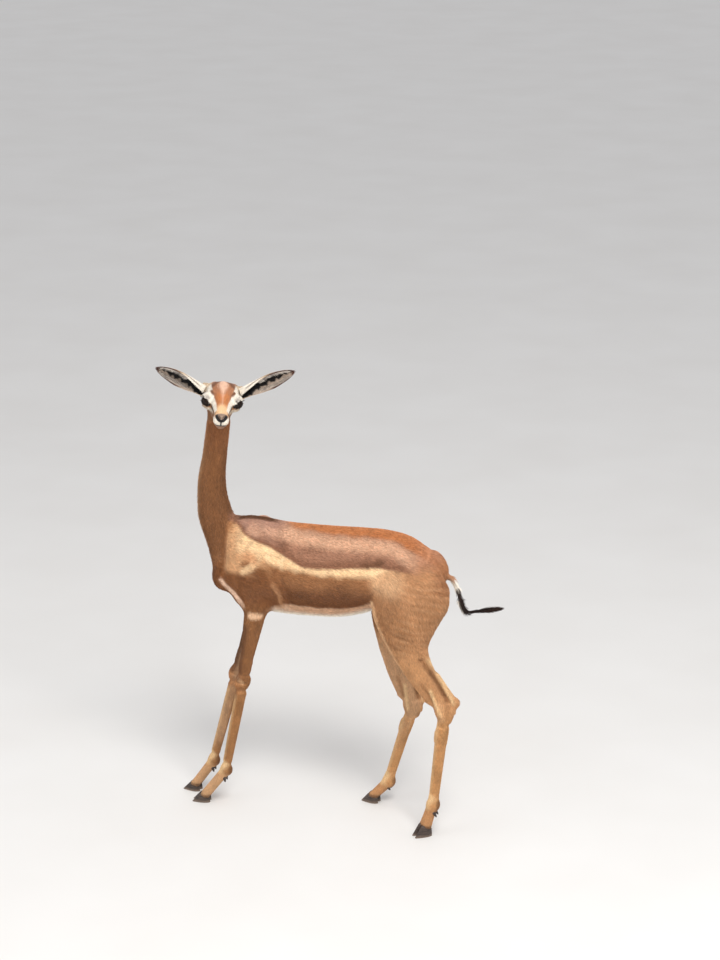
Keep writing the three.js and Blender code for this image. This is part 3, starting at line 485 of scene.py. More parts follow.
def leg_folds(name):
    """The sinews of one leg: the hollow before the heel cord, the hock, the knee and the cannon's grooves."""
    leg = LEGS[name]
    fetlock = leg["fetlock"]
    top = leg["knee"] if "knee" in leg else leg["hock"]
    reach = np.linalg.norm(top - fetlock)
    lines = [
        (along_bone(fetlock, top, [(reach * 0.85, 4), (reach * 0.12, 3)]), 7, 2.6),
        (along_bone(fetlock, top, [(reach * 0.8, -9), (reach * 0.2, -8)]), 6, -1.0),
        (along_bone(fetlock, top, [(16, 4), (-2, 0)]), 6, -1.4),
    ]
    if "knee" in leg:
        knee, elbow = leg["knee"], leg["elbow"]
        lines += [
            (along_bone(knee, elbow, [(14, -10), (17, 4)]), 12, -1.3),
            (along_bone(knee, elbow, [(-10, -10), (-9, 4)]), 12, -1.3),
            (along_bone(knee, elbow, [(2, -14), (4, 12)]), 6, 2.6),
            (along_bone(knee, elbow, [(150, 6), (100, 4), (40, 6)]), 10, 2.8),
            (along_bone(knee, elbow, [(120, -14), (60, -8)]), 9, -1.4),
        ]
    else:
        hock, stifle = leg["hock"], leg["stifle"]
        lines += [
            (along_bone(hock, stifle, [(146, 33), (77, 33), (16, 28)]), 11, 6.5),
            (along_bone(hock, stifle, [(138, 46), (69, 43), (6, 38)]), 6, -1.4),
            (along_bone(hock, stifle, [(90, -6), (60, -4), (34, -8)]), 7, 3.0),
            (along_bone(hock, stifle, [(62, 6), (24, -4), (-4, -8)]), 8, -2.8),
            (along_bone(hock, stifle, [(26, 20), (-20, 22), (-56, 44)]), 8, -2.2),
            (along_bone(fetlock, hock, [(reach - 42, -8), (reach - 46, 6)]), 6, 2.8),
            (along_bone(fetlock, hock, [(reach - 60, -8), (reach - 74, 8)]), 7, 2.4),
        ]
    return [(face, width, depth) for line, width, depth in lines for face in on_leg(name, line)]


folds = [
    (on_side(trunk, side, line), reach, depth) for line, reach, depth in TRUNK_FOLDS for side in (LEFT, RIGHT)
]
folds += [
    (outer, reach, depth) for line, reach, depth in THIGH_FOLDS for outer in on_leg("hind_left", line)[:1]
]
folds += [fold for name in LEGS for fold in leg_folds(name)]

# Skin. One closed skin covers trunk, neck, head, legs and the dock, with no seam between them, and lies
# inside the forms by the depth of the coat. It is wrapped round them cell by cell, and is finer on the face,
# the lower legs and the end of the dock.
CELL = 5.2
RUMP_LINE = [
    (300, 845), (325, 824), (343, 810), (365, 795), (381, 780), (398, 760), (417, 734), (431, 713),
    (438, 703), (446, 690),
]


def along_line(line, x):
    """The height, or another value, of a line of points at each x."""
    line = np.array(line, float)
    return np.interp(x, line[:, 0], line[:, 1])


def over_rump(p):
    """The space above the round slope from the loin down to the root of the tail."""
    x, y, z = p.T
    line = along_line(RUMP_LINE, x)
    return np.maximum.reduce([(line + (y / 35) ** 2 * 12 - z) * 0.6, 700 - z, 310 - x])


body = hollowed(folded(whole_body, folds), 10, over_rump)


def coat_depth(p):
    """How deep the hair lies: least on the face and feet."""
    thick = 1.0 + 0.9 * smooth(p[:, 2], 300, 560)
    return thick - 0.9 * smooth(p[:, 2], 1090, 1130)


def animal(p):
    form = blended(6, blended(16, body, head), dock)
    return form(p) + coat_depth(p)


def wrapped(field, low, high, cell):
    """Vertices and four-sided faces round the place where a field is zero, one vertex a cell."""
    counts = np.ceil((high - low) / cell).astype(int) + 1
    axes = [low[k] + cell * np.arange(counts[k]) for k in range(3)]
    rough = [a[::3] for a in axes]
    corners = np.stack(np.meshgrid(*rough, indexing="ij"), -1).reshape(-1, 3)
    guess = field(corners).reshape([len(a) for a in rough])
    pick = [np.minimum((np.arange(n) + 1) // 3, len(a) - 1) for n, a in zip(counts, rough)]
    values = guess[pick[0]][:, pick[1]][:, :, pick[2]]
    close = np.argwhere(np.abs(values) < 6.5 * cell)
    points = np.stack([axes[k][close[:, k]] for k in range(3)], 1)
    values[tuple(close.T)] = field(points)
    untangle(values)
    inside = values < 0
    steps = np.array([(a, b, c) for a in (0, 1) for b in (0, 1) for c in (0, 1)])

    def part(array, step):
        return array[tuple(slice(s, n - 1 + s) for s, n in zip(step, array.shape))]

    total = sum(part(inside, s).astype(np.int8) for s in steps)
    cells = np.argwhere((total > 0) & (total < 8))
    middle = np.zeros((len(cells), 3))
    crossings = np.zeros(len(cells))
    for a in steps:
        for b in steps:
            if (b - a).sum() != 1 or (b < a).any():
                continue
            va, vb = values[tuple((cells + a).T)], values[tuple((cells + b).T)]
            cut = (va < 0) != (vb < 0)
            t = np.where(cut, va / np.where(cut, va - vb, 1), 0)
            middle += np.where(cut[:, None], low + cell * (cells + a + t[:, None] * (b - a)), 0)
            crossings += cut
    index = np.full(values.shape, -1)
    index[tuple(cells.T)] = np.arange(len(cells))
    faces = []
    ways = np.eye(3, dtype=int)
    for axis in range(3):
        u, v = [(1, 2), (2, 0), (0, 1)][axis]
        here = part(inside, (0, 0, 0))
        changed = np.argwhere(here != part(inside, ways[axis]))
        changed = changed[(changed[:, u] > 0) & (changed[:, v] > 0)]
        shifts = [m * ways[u] + n * ways[v] for m, n in ((1, 1), (0, 1), (0, 0), (1, 0))]
        quads = np.stack([index[tuple((changed - shift).T)] for shift in shifts], 1)
        out = inside[tuple(changed.T)]
        faces.append(np.where(out[:, None], quads, quads[:, ::-1]))
    return middle / crossings[:, None], np.concatenate(faces)


def untangle(values):
    """Where a lattice face's corners lie in and out by turns, the nearer outer one is taken in."""
    found = True
    while found:
        found = False
        for u, v in ((1, 2), (0, 2), (0, 1)):
            step_u, step_v = np.eye(3, dtype=int)[u], np.eye(3, dtype=int)[v]
            size = np.array(values.shape) - step_u - step_v

            def corner(shift):
                return values[tuple(slice(s, s + n) for s, n in zip(shift, size))]

            ring = [corner(0 * step_u), corner(step_u), corner(step_u + step_v), corner(step_v)]
            signs = [c < 0 for c in ring]
            turns = (signs[0] == signs[2]) & (signs[1] == signs[3]) & (signs[0] != signs[1])
            shifts = [0 * step_u, step_u, step_u + step_v, step_v]
            for cell in np.argwhere(turns):
                where = [tuple(cell + shift) for shift in shifts]
                outer = [w for w in where if values[w] >= 0]
                if len(outer) == 2:
                    values[min(outer, key=lambda w: values[w])] = -0.1
                    found = True


def settled(field, p, rounds, cap):
    """Moves points to where the field is zero."""
    step = 0.3
    for _ in range(rounds):
        d = field(p)
        slope = np.stack([(field(p + step * e) - d) / step for e in np.eye(3)], 1)
        move = -slope * (d / np.maximum((slope * slope).sum(1), 0.2))[:, None]
        far = np.linalg.norm(move, axis=1)
        p = p + move * np.minimum(1, cap / np.maximum(far, 1e-9))[:, None]
    return p


def evened(p, faces, share):
    """Moves each vertex towards the middle of those it shares an edge with."""
    total, count = np.zeros_like(p), np.zeros(len(p))
    for a, b in ((0, 1), (1, 2), (2, 3), (3, 0)):
        for m, n in ((a, b), (b, a)):
            np.add.at(total, faces[:, m], p[faces[:, n]])
            np.add.at(count, faces[:, m], 1)
    return p + share * (total / count[:, None] - p)


def finer(mesh, wanted):
    """Splits the faces whose middles are wanted, each into four."""
    bm = bmesh.new()
    bm.from_mesh(mesh)
    middles = np.array([f.calc_center_median() for f in bm.faces])
    chosen = wanted(middles)
    edges = {e for f, c in zip(bm.faces, chosen) if c for e in f.edges}
    bmesh.ops.subdivide_edges(bm, edges=list(edges), cuts=1, use_grid_fill=True)
    bmesh.ops.triangulate(bm, faces=[f for f in bm.faces if len(f.verts) > 4])
    bm.to_mesh(mesh)
    bm.free()


def positions(mesh):
    flat = np.empty(3 * len(mesh.vertices))
    mesh.vertices.foreach_get("co", flat)
    return flat.reshape(-1, 3)


def face_or_legs(p):
    dock_end = (p[:, 0] > 425) & (p[:, 2] > 600) & (p[:, 2] < 705)
    return (p[:, 2] < 430) | dock_end | (in_head(p)[:, 0] > 0) & (p[:, 2] > 1090)


def eyes_or_muzzle(p):
    q = in_head(p)
    by_eye = np.linalg.norm(np.abs(q) - (EYE + at(2, 8, 0)), axis=1) < 26
    return (p[:, 2] > 1090) & (by_eye | (q[:, 0] > 158))


points, quads = wrapped(animal, at(-350, -226, 6), at(480, 118, 1240), CELL)
points = settled(animal, evened(settled(animal, points, 2, 2.0), quads, 0.5), 2, 2.0)
skin_mesh = bpy.data.meshes.new("skin")
skin_mesh.from_pydata(points.tolist(), [], quads.tolist())
for wanted, cap in ((face_or_legs, 1.5), (eyes_or_muzzle, 0.8)):
    finer(skin_mesh, wanted)
    moved = positions(skin_mesh)
    chosen = wanted(moved)
    moved[chosen] = settled(animal, moved[chosen], 3, cap)
    skin_mesh.vertices.foreach_set("co", moved.ravel())
skin_mesh.update()

# Ears. Each is a long leaf of thin gristle rolled into a cup: nearly a tube at its root and flat at its tip.
# They stand out sideways and open forward, with low ribs inside, and are joined to the skin without a seam.
EAR_ROOT = at(24, 36, 17)
EAR = np.array([
    (0, 36, 2.75), (0.15, 33, 2.2), (0.35, 33, 1.5), (0.55, 33, 1.15), (0.75, 25, 0.9), (0.9, 15, 0.75),
    (1, 4, 0.6),
])
EARS = {
    "left": (1, at(8, 182, 84), at(0.86, -0.04, -0.51)),
    "right": (-1, at(-12, -178, 51), at(0.86, 0.16, -0.48)),
}
EAR_ROWS, EAR_COLUMNS = 64, 30


def between_rings(rows, sides):
    """Four-sided faces that join each ring of points to the next."""
    return [
        (r * sides + i, r * sides + (i + 1) % sides, (r + 1) * sides + (i + 1) % sides, (r + 1) * sides + i)
        for r in range(rows) for i in range(sides)
    ]


def ear_shell(side, tip, opening):
    """Vertices and faces of one ear, with its share along, its share across and which wall each is on."""
    root = EAR_ROOT * at(1, side, 1)
    length = np.linalg.norm(tip - root)
    ahead = unit(tip - root)
    opening = unit(opening - ahead * (opening @ ahead))
    across = np.cross(ahead, opening)
    arc, curl = curve_of(EAR, 1), curve_of(EAR, 2)
    vertices, traits = [], []
    for row in range(EAR_ROWS + 1):
        t = row / EAR_ROWS
        radius = arc(t) / curl(t)
        wall = 2.0 - 1.1 * t
        middle = root + ahead * length * (0.05 + 0.95 * t) + at(0, 0, 7 * math.sin(math.pi * t))
        share = np.linspace(1, -1, EAR_COLUMNS + 1)
        ribs = 0.9 * np.cos(share * math.pi * 3.2) ** 4 * smooth(t, 0.08, 0.3) * (1 - smooth(t, 0.75, 0.95))
        rim = np.sqrt(np.clip(1 - share ** 8, 0.03, 1))
        for wall_side, order in ((1, slice(None)), (-1, slice(None, None, -1))):
            reach = radius + wall_side * wall / 2 * rim - (ribs if wall_side < 0 else 0)
            turn = curl(t) * share
            ring = (
                middle + across * (reach * np.sin(turn))[:, None]
                + opening * (radius - reach * np.cos(turn))[:, None]
            )
            vertices.append(ring[order])
            traits.append(np.stack([np.full(len(share), t), share, np.full(len(share), wall_side)], 1)[order])
    count = 2 * (EAR_COLUMNS + 1)
    faces = between_rings(EAR_ROWS, count)
    for first, flipped in ((0, True), (EAR_ROWS * count, False)):
        for c in range(EAR_COLUMNS):
            quad = (first + c, first + c + 1, first + count - 2 - c, first + count - 1 - c)
            faces.append(quad[::-1] if flipped else quad)
    return on_head(np.concatenate(vertices)), faces, np.concatenate(traits)


def added(name, data):
    """A new object in the scene."""
    item = bpy.data.objects.new(name, data)
    bpy.context.scene.collection.objects.link(item)
    return item


def united(base, other):
    """Joins one closed mesh into another, and keeps only their outside."""
    holder, cutter = added("holder", base), added("cutter", other)
    join = holder.modifiers.new("join", "BOOLEAN")
    join.operation, join.solver, join.object = "UNION", "MANIFOLD", cutter
    made = bpy.data.meshes.new_from_object(holder.evaluated_get(bpy.context.evaluated_depsgraph_get()))
    for o in (holder, cutter):
        bpy.data.objects.remove(o)
    return made


ear_points, ear_traits = [], []
for side, tip, opening in EARS.values():
    points, faces, traits = ear_shell(side, tip, opening)
    ear_mesh = bpy.data.meshes.new("ear")
    ear_mesh.from_pydata(points.tolist(), [], faces)
    skin_mesh = united(skin_mesh, ear_mesh)
    ear_points.append(points)
    ear_traits.append(traits)
ear_points, ear_traits = np.concatenate(ear_points), np.concatenate(ear_traits)
skin_mesh.name = "skin"
low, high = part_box("eye_left")
SHIFT = 1000 * np.array((low + high) / 2) - on_head(EYE)


def placed(p):
    """From the animal's axes in millimetres to the part's frame in metres."""
    return (p + SHIFT) / 1000


p = positions(skin_mesh)
skin_mesh.vertices.foreach_set("co", placed(p).ravel())
skin_mesh.polygons.foreach_set("use_smooth", [True] * len(skin_mesh.polygons))
skin = added("skin", skin_mesh)
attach(skin, "root")
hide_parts("torso", "neck", "head", "ear_left", "ear_right", *("leg_" + name for name in LEGS))

# Markings. A dark saddle with a bright edge lies over tan flanks, the belly and lips are white, white streaks
# run down the face beside the eyes, and the ears are black and cream inside. Light and shade are painted in as
# well: painted shade low on the flank, over the elbow, on the belly's sides, the lower neck and the chin,
# beside the muzzle, in the eye sockets and in the grooves of the legs, and painted highlights on the withers,
# the saddle, the neck's top, the thigh, the crown and along ridges. All of it is painted by rule on the skin's
# vertices, as linear colours, and every tuft of the coat takes the colour of the place it grows from.
q = in_head(p)
tree = KDTree(len(ear_points))
for i, place in enumerate(ear_points):
    tree.insert(place, i)
tree.balance()
by_ear = np.flatnonzero((p[:, 2] > 1130) & ((np.abs(q[:, 1]) > 36) | (q[:, 0] < 12)))
on_ear = np.zeros(len(p), bool)
ear_at = np.zeros((len(p), 3))
for i in by_ear:
    _, nearest, gap = tree.find(p[i])
    if gap < 0.6:
        on_ear[i] = True
        ear_at[i] = ear_traits[nearest]


def colour(red, green, blue):
    """A colour given as on a screen, made linear."""
    c = np.array([red, green, blue]) / 255
    return np.where(c <= 0.04045, c / 12.92, ((c + 0.055) / 1.055) ** 2.4)


def stroke(where, line, reach, edge):
    """A line drawn with a soft brush: 1 within its reach, and 0 past its edge."""
    line = np.array(line, float)
    nearest = np.full(len(where), np.inf)
    for a, b in zip(line, line[1:]):
        t = np.clip((where - a) @ (b - a) / ((b - a) @ (b - a)), 0, 1)
        nearest = np.minimum(nearest, np.linalg.norm(where - a - t[:, None] * (b - a), axis=1))
    return 1 - smooth(nearest, reach, reach + edge)


def uneven(where, patch_size):
    """A soft, irregular pattern from -1 to 1."""
    a = where / patch_size
    first = np.sin(a @ at(1.0, 0.7, 0.3) + 1.3 * np.sin(a @ at(-0.4, 1.1, 0.8)))
    return (first + np.sin(a @ at(0.3, -0.9, 1.2) + 1.7 * np.sin(a @ at(1.2, 0.2, -0.5)))) / 2


FLANK = colour(164, 112, 70)
FLANK_LOW_AND_SHADE = colour(112, 66, 32)
SHOULDER_TAN = colour(216, 168, 122)
CREAM = colour(247, 212, 165)
SADDLE = colour(176, 128, 100)
SADDLE_LOW = colour(142, 95, 68)
SADDLE_SHEEN = colour(224, 178, 144)
SPINE = colour(194, 122, 70)
WITHERS_LIT = colour(184, 140, 118)
DARK_BROWN = colour(96, 58, 32)
RUMP = colour(188, 134, 100)
RUMP_REAR = colour(152, 94, 58)
THIGH = colour(196, 144, 100)
THIGH_LOW = colour(158, 110, 70)
PALE = colour(226, 184, 140)
NECK_BROWN = colour(144, 95, 56)
NECK_DARK = colour(116, 74, 42)
BELLY_SHADED = colour(214, 172, 138)
WHITE = colour(240, 230, 214)
ELBOW_BROWN_AND_SHADE = colour(124, 74, 36)
SHOULDER_WARM = colour(214, 156, 110)
NECK_TOP_LIT = colour(184, 120, 76)
BREAST_PALE = colour(232, 196, 168)
ELBOW_PALE = colour(236, 196, 158)
DOCK_BLACK = colour(46, 29, 22)
SADDLE_LINE = [
    (-230, 850), (-141, 807), (-95, 786), (-57, 772), (-23, 757), (6, 744), (35, 731), (69, 730), (119, 733),
    (173, 740), (226, 743), (266, 744), (298, 746), (332, 742), (420, 720),
]
SPINE_LINE = [
    (-140, 860), (-60, 834), (-16, 822), (25, 816), (108, 812), (190, 813), (271, 812), (325, 790),
    (380, 760), (430, 720),
]
CREAM_LINE = [
    (-230, 745), (-140, 745), (-90, 748), (-60, 728), (-22, 716), (35, 712), (91, 708), (146, 711),
    (200, 712), (227, 712), (248, 724), (275, 738), (301, 744), (420, 760),
]
BELLY_LINE = [
    (-200, 600), (-58, 602), (-27, 615), (3, 620), (87, 619), (142, 622), (182, 630), (207, 637), (300, 680),
]
x, y, z = p.T
wide = np.abs(y)
side_on = p[:, [0, 2]]
paint = np.tile(FLANK, (len(p), 1))


def brush(mask, tint):
    paint[:] = paint + np.clip(mask, 0, 1)[:, None] * (tint - paint)


on_trunk = 1 - smooth(trunk(p), 4, 16)
on_neck = (1 - smooth(neck(p), 3, 14)) * smooth(z, 640, 690)
on_neck *= 1 - smooth(x + 0.02 * (z - 760), -186, -176) * (1 - smooth(z, 845, 880))
above_saddle = z - along_line(SADDLE_LINE, x)
behind = smooth(x, 205, 245)
brush(behind * (1 - smooth(z, 745, 770)), THIGH)
brush(behind * smooth(x, 300, 380) * (1 - smooth(z, 640, 740)) * 0.35, THIGH_LOW)
brush(0.75 * stroke(side_on, [(262, 655), (285, 600), (300, 560)], 26, 46), THIGH_LOW)
# A painted highlight at the top of the thigh's front.
brush(0.7 * stroke(side_on, [(256, 716), (282, 712)], 12, 44), PALE)
brush(smooth(x, 315, 350) * smooth(z, 735, 775), RUMP)
brush(smooth(x, 380, 425) * smooth(z, 660, 730) * 0.8, RUMP_REAR)
ham = smooth(x, 270, 330) * (1 - smooth(z, 700, 740)) * smooth(z, 470, 520)
# Rows of paler and darker streaks across the ham: painted light and shade of hair lying in ridges.
ham_ridge_light = np.sin(z / 3.1 + 0.05 * x + 1.8 * uneven(p, 34)) * (0.6 + 0.4 * uneven(p, 20))
brush(ham * np.clip(ham_ridge_light, 0, 1) * 0.34, PALE)
brush(ham * np.clip(-ham_ridge_light, 0, 1) * 0.36, THIGH_LOW)
# Darker low on the flank: partly its own colour, partly painted shade where the barrel turns under.
low_flank_and_shade = (1 - smooth(z + 6 * uneven(p, 25), 650, 712)) * smooth(x, -40, -5) * (1 - smooth(x, 222, 240))
brush(on_trunk * low_flank_and_shade * 0.9, FLANK_LOW_AND_SHADE)
# Below the shoulder the upper arm and chest front go dark brown: partly their own colour, partly painted shade.
front = 1 - smooth(x, -30, 10)
brush(on_trunk * front * (1 - smooth(z, 690, 742)) * 0.85, ELBOW_BROWN_AND_SHADE)
brush(on_trunk * 0.4 * stroke(side_on, [(-64, 736), (-50, 704), (-40, 676)], 3, 18), FLANK)
brush(on_trunk * 0.5 * stroke(side_on, [(-20, 700), (30, 690), (90, 690)], 6, 26), FLANK)
shoulder_front = (
    smooth(z, 684, 706) * smooth(x, -192, -168) * (1 - smooth(x, -90, -40)) * (1 - smooth(z, 845, 880))
)
brush(shoulder_front * on_trunk * (1 - stroke(side_on, [(-118, 716), (-70, 700)], 6, 20)), SHOULDER_TAN)
under_saddle = 1 - smooth(above_saddle, -3, 4)
over_cream = z - along_line(CREAM_LINE, x) + 3 * uneven(p, 9)
cream = smooth(over_cream, -4, 15) * smooth(x, -170, -120) * (1 - smooth(x, 290, 335))
brush(on_trunk * cream * under_saddle, CREAM)
brush(on_trunk * 0.8 * stroke(side_on, [(-130, 775), (-76, 760)], 8, 16) * under_saddle, CREAM)
brush(on_trunk * 0.8 * stroke(side_on, [(-67, 774), (-84, 743), (-104, 716), (-128, 702)], 4, 9), CREAM)
brush(on_trunk * 0.6 * stroke(side_on, [(-100, 738), (-118, 748)], 6, 14), SHOULDER_WARM)
saddle_mask = smooth(above_saddle, -3, 5) * (x > -230) * (1 - smooth(x, 300, 370)) * smooth(z, 700, 730)
brush(saddle_mask, SADDLE)
brush(saddle_mask * (1 - smooth(above_saddle, 4, 34)) * 0.8, SADDLE_LOW)
spot = stroke(side_on, [(206, 747), (232, 750), (246, 758)], 2, 17) * saddle_mask
brush(0.6 * spot, DARK_BROWN)
brush(0.45 * saddle_mask * np.clip(uneven(p * at(0.35, 1, 1), 16), 0, 1), SADDLE_LOW)
above_spine = z - along_line(SPINE_LINE, x)
sheen = (1 - np.abs(above_spine + 17) / 24) * smooth(x, -60, -10)
brush(0.9 * np.clip(1.3 * sheen, 0, 1) * saddle_mask, SADDLE_SHEEN)
# Over the withers the saddle is paler: a painted highlight where light falls on them.
brush((1 - smooth(x, -60, -5)) * smooth(above_saddle, 4, 14) * smooth(z, 760, 780) * on_trunk, WITHERS_LIT)
brush(0.5 * stroke(side_on, [(-110, 812), (-40, 800), (0, 805)], 5, 16), SADDLE_SHEEN)
brush(0.55 * stroke(side_on, [(-80, 792), (-20, 776)], 6, 16) * saddle_mask, SADDLE_LOW)
spine = smooth(above_spine + 2 * uneven(p, 12), -4, 6) * smooth(x, -70, -10) * (1 - 0.8 * smooth(x, 300, 400))
brush(0.9 * spine, SPINE)
crest = (1 - smooth(wide, 8, 17)) * smooth(x, -176, -150) * (1 - smooth(x, -75, -30)) * smooth(z, 800, 830)
brush(crest, DARK_BROWN)
brush(on_neck, NECK_BROWN)
mane = on_neck * (1 - smooth(wide, 8, 22)) * smooth(x, -215, -195)
brush(0.6 * mane, NECK_DARK)
# Painted shade darkens the lower neck, and painted light brightens its top, where the head shades it.
brush(on_neck * (1 - smooth(z, 860, 1000)) * 0.5, NECK_DARK)
brush(on_neck * smooth(z, 980, 1080) * 0.5, NECK_TOP_LIT)
brush(0.3 * on_neck * smooth(-x, 225, 262) * (1 - smooth(wide, 12, 26)), PALE)
below_flank = along_line(BELLY_LINE, x) - z + 2 * uneven(p, 14)
under = smooth(below_flank, -3, 4) * smooth(x, -75, -45) * (1 - smooth(x, 225, 270))
# The belly's sides take a tan of painted shade, and only its middle stays white.
brush(under * on_trunk, BELLY_SHADED)
brush(under * on_trunk * (1 - smooth(wide, 36, 62)), WHITE)
beside = np.stack([x, wide, z], 1)
brush(stroke(beside, [(-192, 58, 668), (-160, 63, 636), (-129, 65, 603)], 5, 5), BREAST_PALE)
# A paler line along the raised fold behind the elbow, a painted highlight on its ridge.
brush(on_trunk * stroke(side_on, [(-43, 673), (-27, 646), (-25, 620)], 1.5, 9) * 0.6, THIGH)
brush(stroke(p, [(412, 0, 690), (428, 0, 668), (430, 0, 640)], 12, 8) * (1 - smooth(wide, 18, 24)), WHITE)
on_dock = (1 - smooth(dock(p), 2, 6)) * (x > 418)
brush(on_dock * (1 - smooth(z, 704, 712)) * smooth(z, 676, 684), WHITE)
brush(on_dock * (1 - smooth(z, 680, 687)) * smooth(x + 0.3 * (680 - z), 430, 437), DOCK_BLACK)
FOREARM, CANNON, GASKIN, HIND_CANNON = (
    colour(*c) for c in ((146, 98, 58), (168, 118, 72), (206, 154, 106), (202, 150, 98))
)
KNEE_RUFOUS, FETLOCK_PALE, FOOT_DARK, INSIDE = (
    colour(*c) for c in ((190, 132, 84), (236, 202, 152), (112, 78, 52), (214, 178, 142))
)
for name, leg in LEGS.items():
    upper = leg["knee"] if "knee" in leg else leg["hock"]
    fetlock, hoof, side = leg["fetlock"], leg["hoof"], leg["side"]
    front_leg = "knee" in leg
    own = (y * side > 0) & (z < upper[2] + 260)
    near_leg = own * (1 - smooth(legs[name](p), 4, 20))
    below_body = 1 - smooth(z, 575, 640) if front_leg else 1 - smooth(z, 470, 560)
    brush(near_leg * below_body, FOREARM if front_leg else GASKIN)
    brush(near_leg * (1 - smooth(z, upper[2] - 40, upper[2] + 20)), CANNON if front_leg else HIND_CANNON)
    spread = uneven(p * at(1, 1, 0.3), 7)
    brush(near_leg * below_body * np.clip(spread, 0, 1) * 0.25, DARK_BROWN)
    inner = smooth(-(y * side) + abs(upper[1]), 4, 14)
    brush(near_leg * inner * smooth(z, fetlock[2] + 20, fetlock[2] + 90) * below_body * 0.5, INSIDE)
    # A pale line down the front of each cannon, a painted highlight.
    cannon = [between(upper, fetlock, share) + at(-13, 0, 0) for share in (0.12, 0.9)]
    brush(near_leg * stroke(p[:, [0, 2]], [c[[0, 2]] for c in cannon], 3, 8) * 0.4, FETLOCK_PALE)
    if front_leg:
        knee_front = stroke(p, [upper + at(-12, 0, 22), upper + at(-14, 0, -16)], 14, 12)
        brush(near_leg * knee_front * 0.7, KNEE_RUFOUS)
        # A painted highlight on the ridge at the side of the knee.
        knee_side_highlight = stroke(p, [upper + at(-8, side * 14, 16), upper + at(4, side * 14, 6)], 3, 6)
        brush(near_leg * knee_side_highlight * 0.6, PALE)
        fronts = [between(leg["elbow"], upper, share) + at(-22 + 8 * share, 0, 0) for share in (0.2, 0.9)]
        brush(near_leg * stroke(p[:, [0, 2]], [c[[0, 2]] for c in fronts], 6, 10) * 0.65, DARK_BROWN)
        # Painted shade in the hollow below the knee.
        shade_below_knee = stroke(p, [upper + at(-15, 0, -14), upper + at(-15, 0, -60)], 5, 7)
        brush(near_leg * shade_below_knee * 0.55, DARK_BROWN)
    else:
        hock_side = stroke(p, [upper + at(-10, side * 16, 20), upper + at(-4, side * 16, -16)], 6, 12)
        brush(near_leg * hock_side * 0.4, PALE)
        # Painted shade in the grooves before the heel cord and at the hock, painted highlights on the tendons.
        for places, soft, strength, tint in (
            ([(150, 32), (77, 33), (22, 29)], 13, 0.8, THIGH_LOW),
            ([(112, 33), (66, 33), (34, 30)], 8, 0.6, DARK_BROWN),
            ([(138, 46), (69, 44), (6, 40)], 8, 0.7, FETLOCK_PALE),
            ([(92, -5), (60, -4), (36, -8)], 11, 0.6, THIGH_LOW),
            ([(66, 7), (24, -3), (-4, -8)], 9, 0.75, FETLOCK_PALE),
            ([(-30, 14), (-44, 18)], 10, 0.6, THIGH_LOW),
            ([(-52, 6), (-66, 30)], 8, 0.6, DARK_BROWN),
        ):
            sinew_light_and_shade = stroke(side_on, along_bone(leg["hock"], leg["stifle"], places), 0, soft)
            brush(near_leg * sinew_light_and_shade * strength, tint)
    fetlock_front = stroke(p, [fetlock + at(-4, 0, 14), fetlock + at(-6, 0, -6)], 13, 8)
    brush(near_leg * fetlock_front * 0.75, FETLOCK_PALE)
    brush(near_leg * stroke(p, [fetlock + at(14, 0, 0), fetlock + at(12, 0, -22)], 8, 8) * 0.6, DARK_BROWN)
    brush(near_leg * (1 - smooth(z, fetlock[2] - 24, fetlock[2] - 6)) * 0.6, PALE if front_leg else THIGH)
    brush(near_leg * (1 - smooth(z, leg["horn"] + 5, leg["horn"] + 12)) * 0.8, FOOT_DARK)
brush(stroke(beside, [(-106, 70, 579), (-84, 65, 580)], 6, 8) * (z < 598), ELBOW_PALE)
# A painted highlight along the ridge at the front edge of the near thigh.
thigh_edge_highlight = stroke(side_on, [(228, 650), (245, 590), (274, 532), (312, 466)], 2, 7)
brush(0.6 * thigh_edge_highlight * (y < 0) * smooth(wide, 60, 75), PALE)

# The face, from the crown to the lips. Its marks are drawn once, on both sides of the middle line, from the
# distances in the head's axes: forward, aside and up.
FACE_BROWN, CHEEK = colour(150, 106, 70), colour(214, 200, 180)
CROWN_BROWN, RUFOUS, BRIDGE = colour(124, 80, 52), colour(176, 120, 84), colour(198, 126, 74)
PEACH_AND_HIGHLIGHT, MUZZLE_TOP, GREY = colour(240, 200, 172), colour(232, 192, 146), colour(150, 138, 130)
BLACK, NOSE_PAD = colour(20, 15, 14), colour(146, 122, 104)
CHIN_SHADE, EAR_ROOT_PALE = colour(164, 124, 98), colour(206, 182, 152)
fore, aside, rise = q[:, 0], np.abs(q[:, 1]), q[:, 2]
face_mask = smooth(fore - 0.4 * rise, 0, 24) * (z > 1095) * ~on_ear
m = np.stack([fore, aside, rise], 1)
FOREHEAD_EDGE = [(0, 34), (46, 32), (74, 29), (92, 23), (110, 18.5), (126, 14.5), (152, 12), (178, 13)]
edge = along_line(FOREHEAD_EDGE, fore)
top = face_mask * smooth(rise, -14, 0)
hairs = np.sin(q[:, 1] * 1.3 + 1.5 * np.sin(fore * 0.11)) * uneven(q, 13)
brush(face_mask, FACE_BROWN)
brush(face_mask * (1 - smooth(rise + 0.1 * fore, -26, -6)) * (1 - smooth(fore, 120, 150)) * 0.7, NECK_BROWN)
brush(top * (1 - smooth(aside - edge, -2, 2)), RUFOUS)
brush(top * (1 - smooth(aside, 16, 21)) * smooth(fore, 86, 108), BRIDGE)
brush(top * np.clip(hairs, 0, 1) * (1 - smooth(aside - edge, -4, 0)) * 0.5, CROWN_BROWN)
crown_width = along_line([(24, 2), (42, 7), (60, 12), (76, 11), (96, 4), (116, 0)], fore)
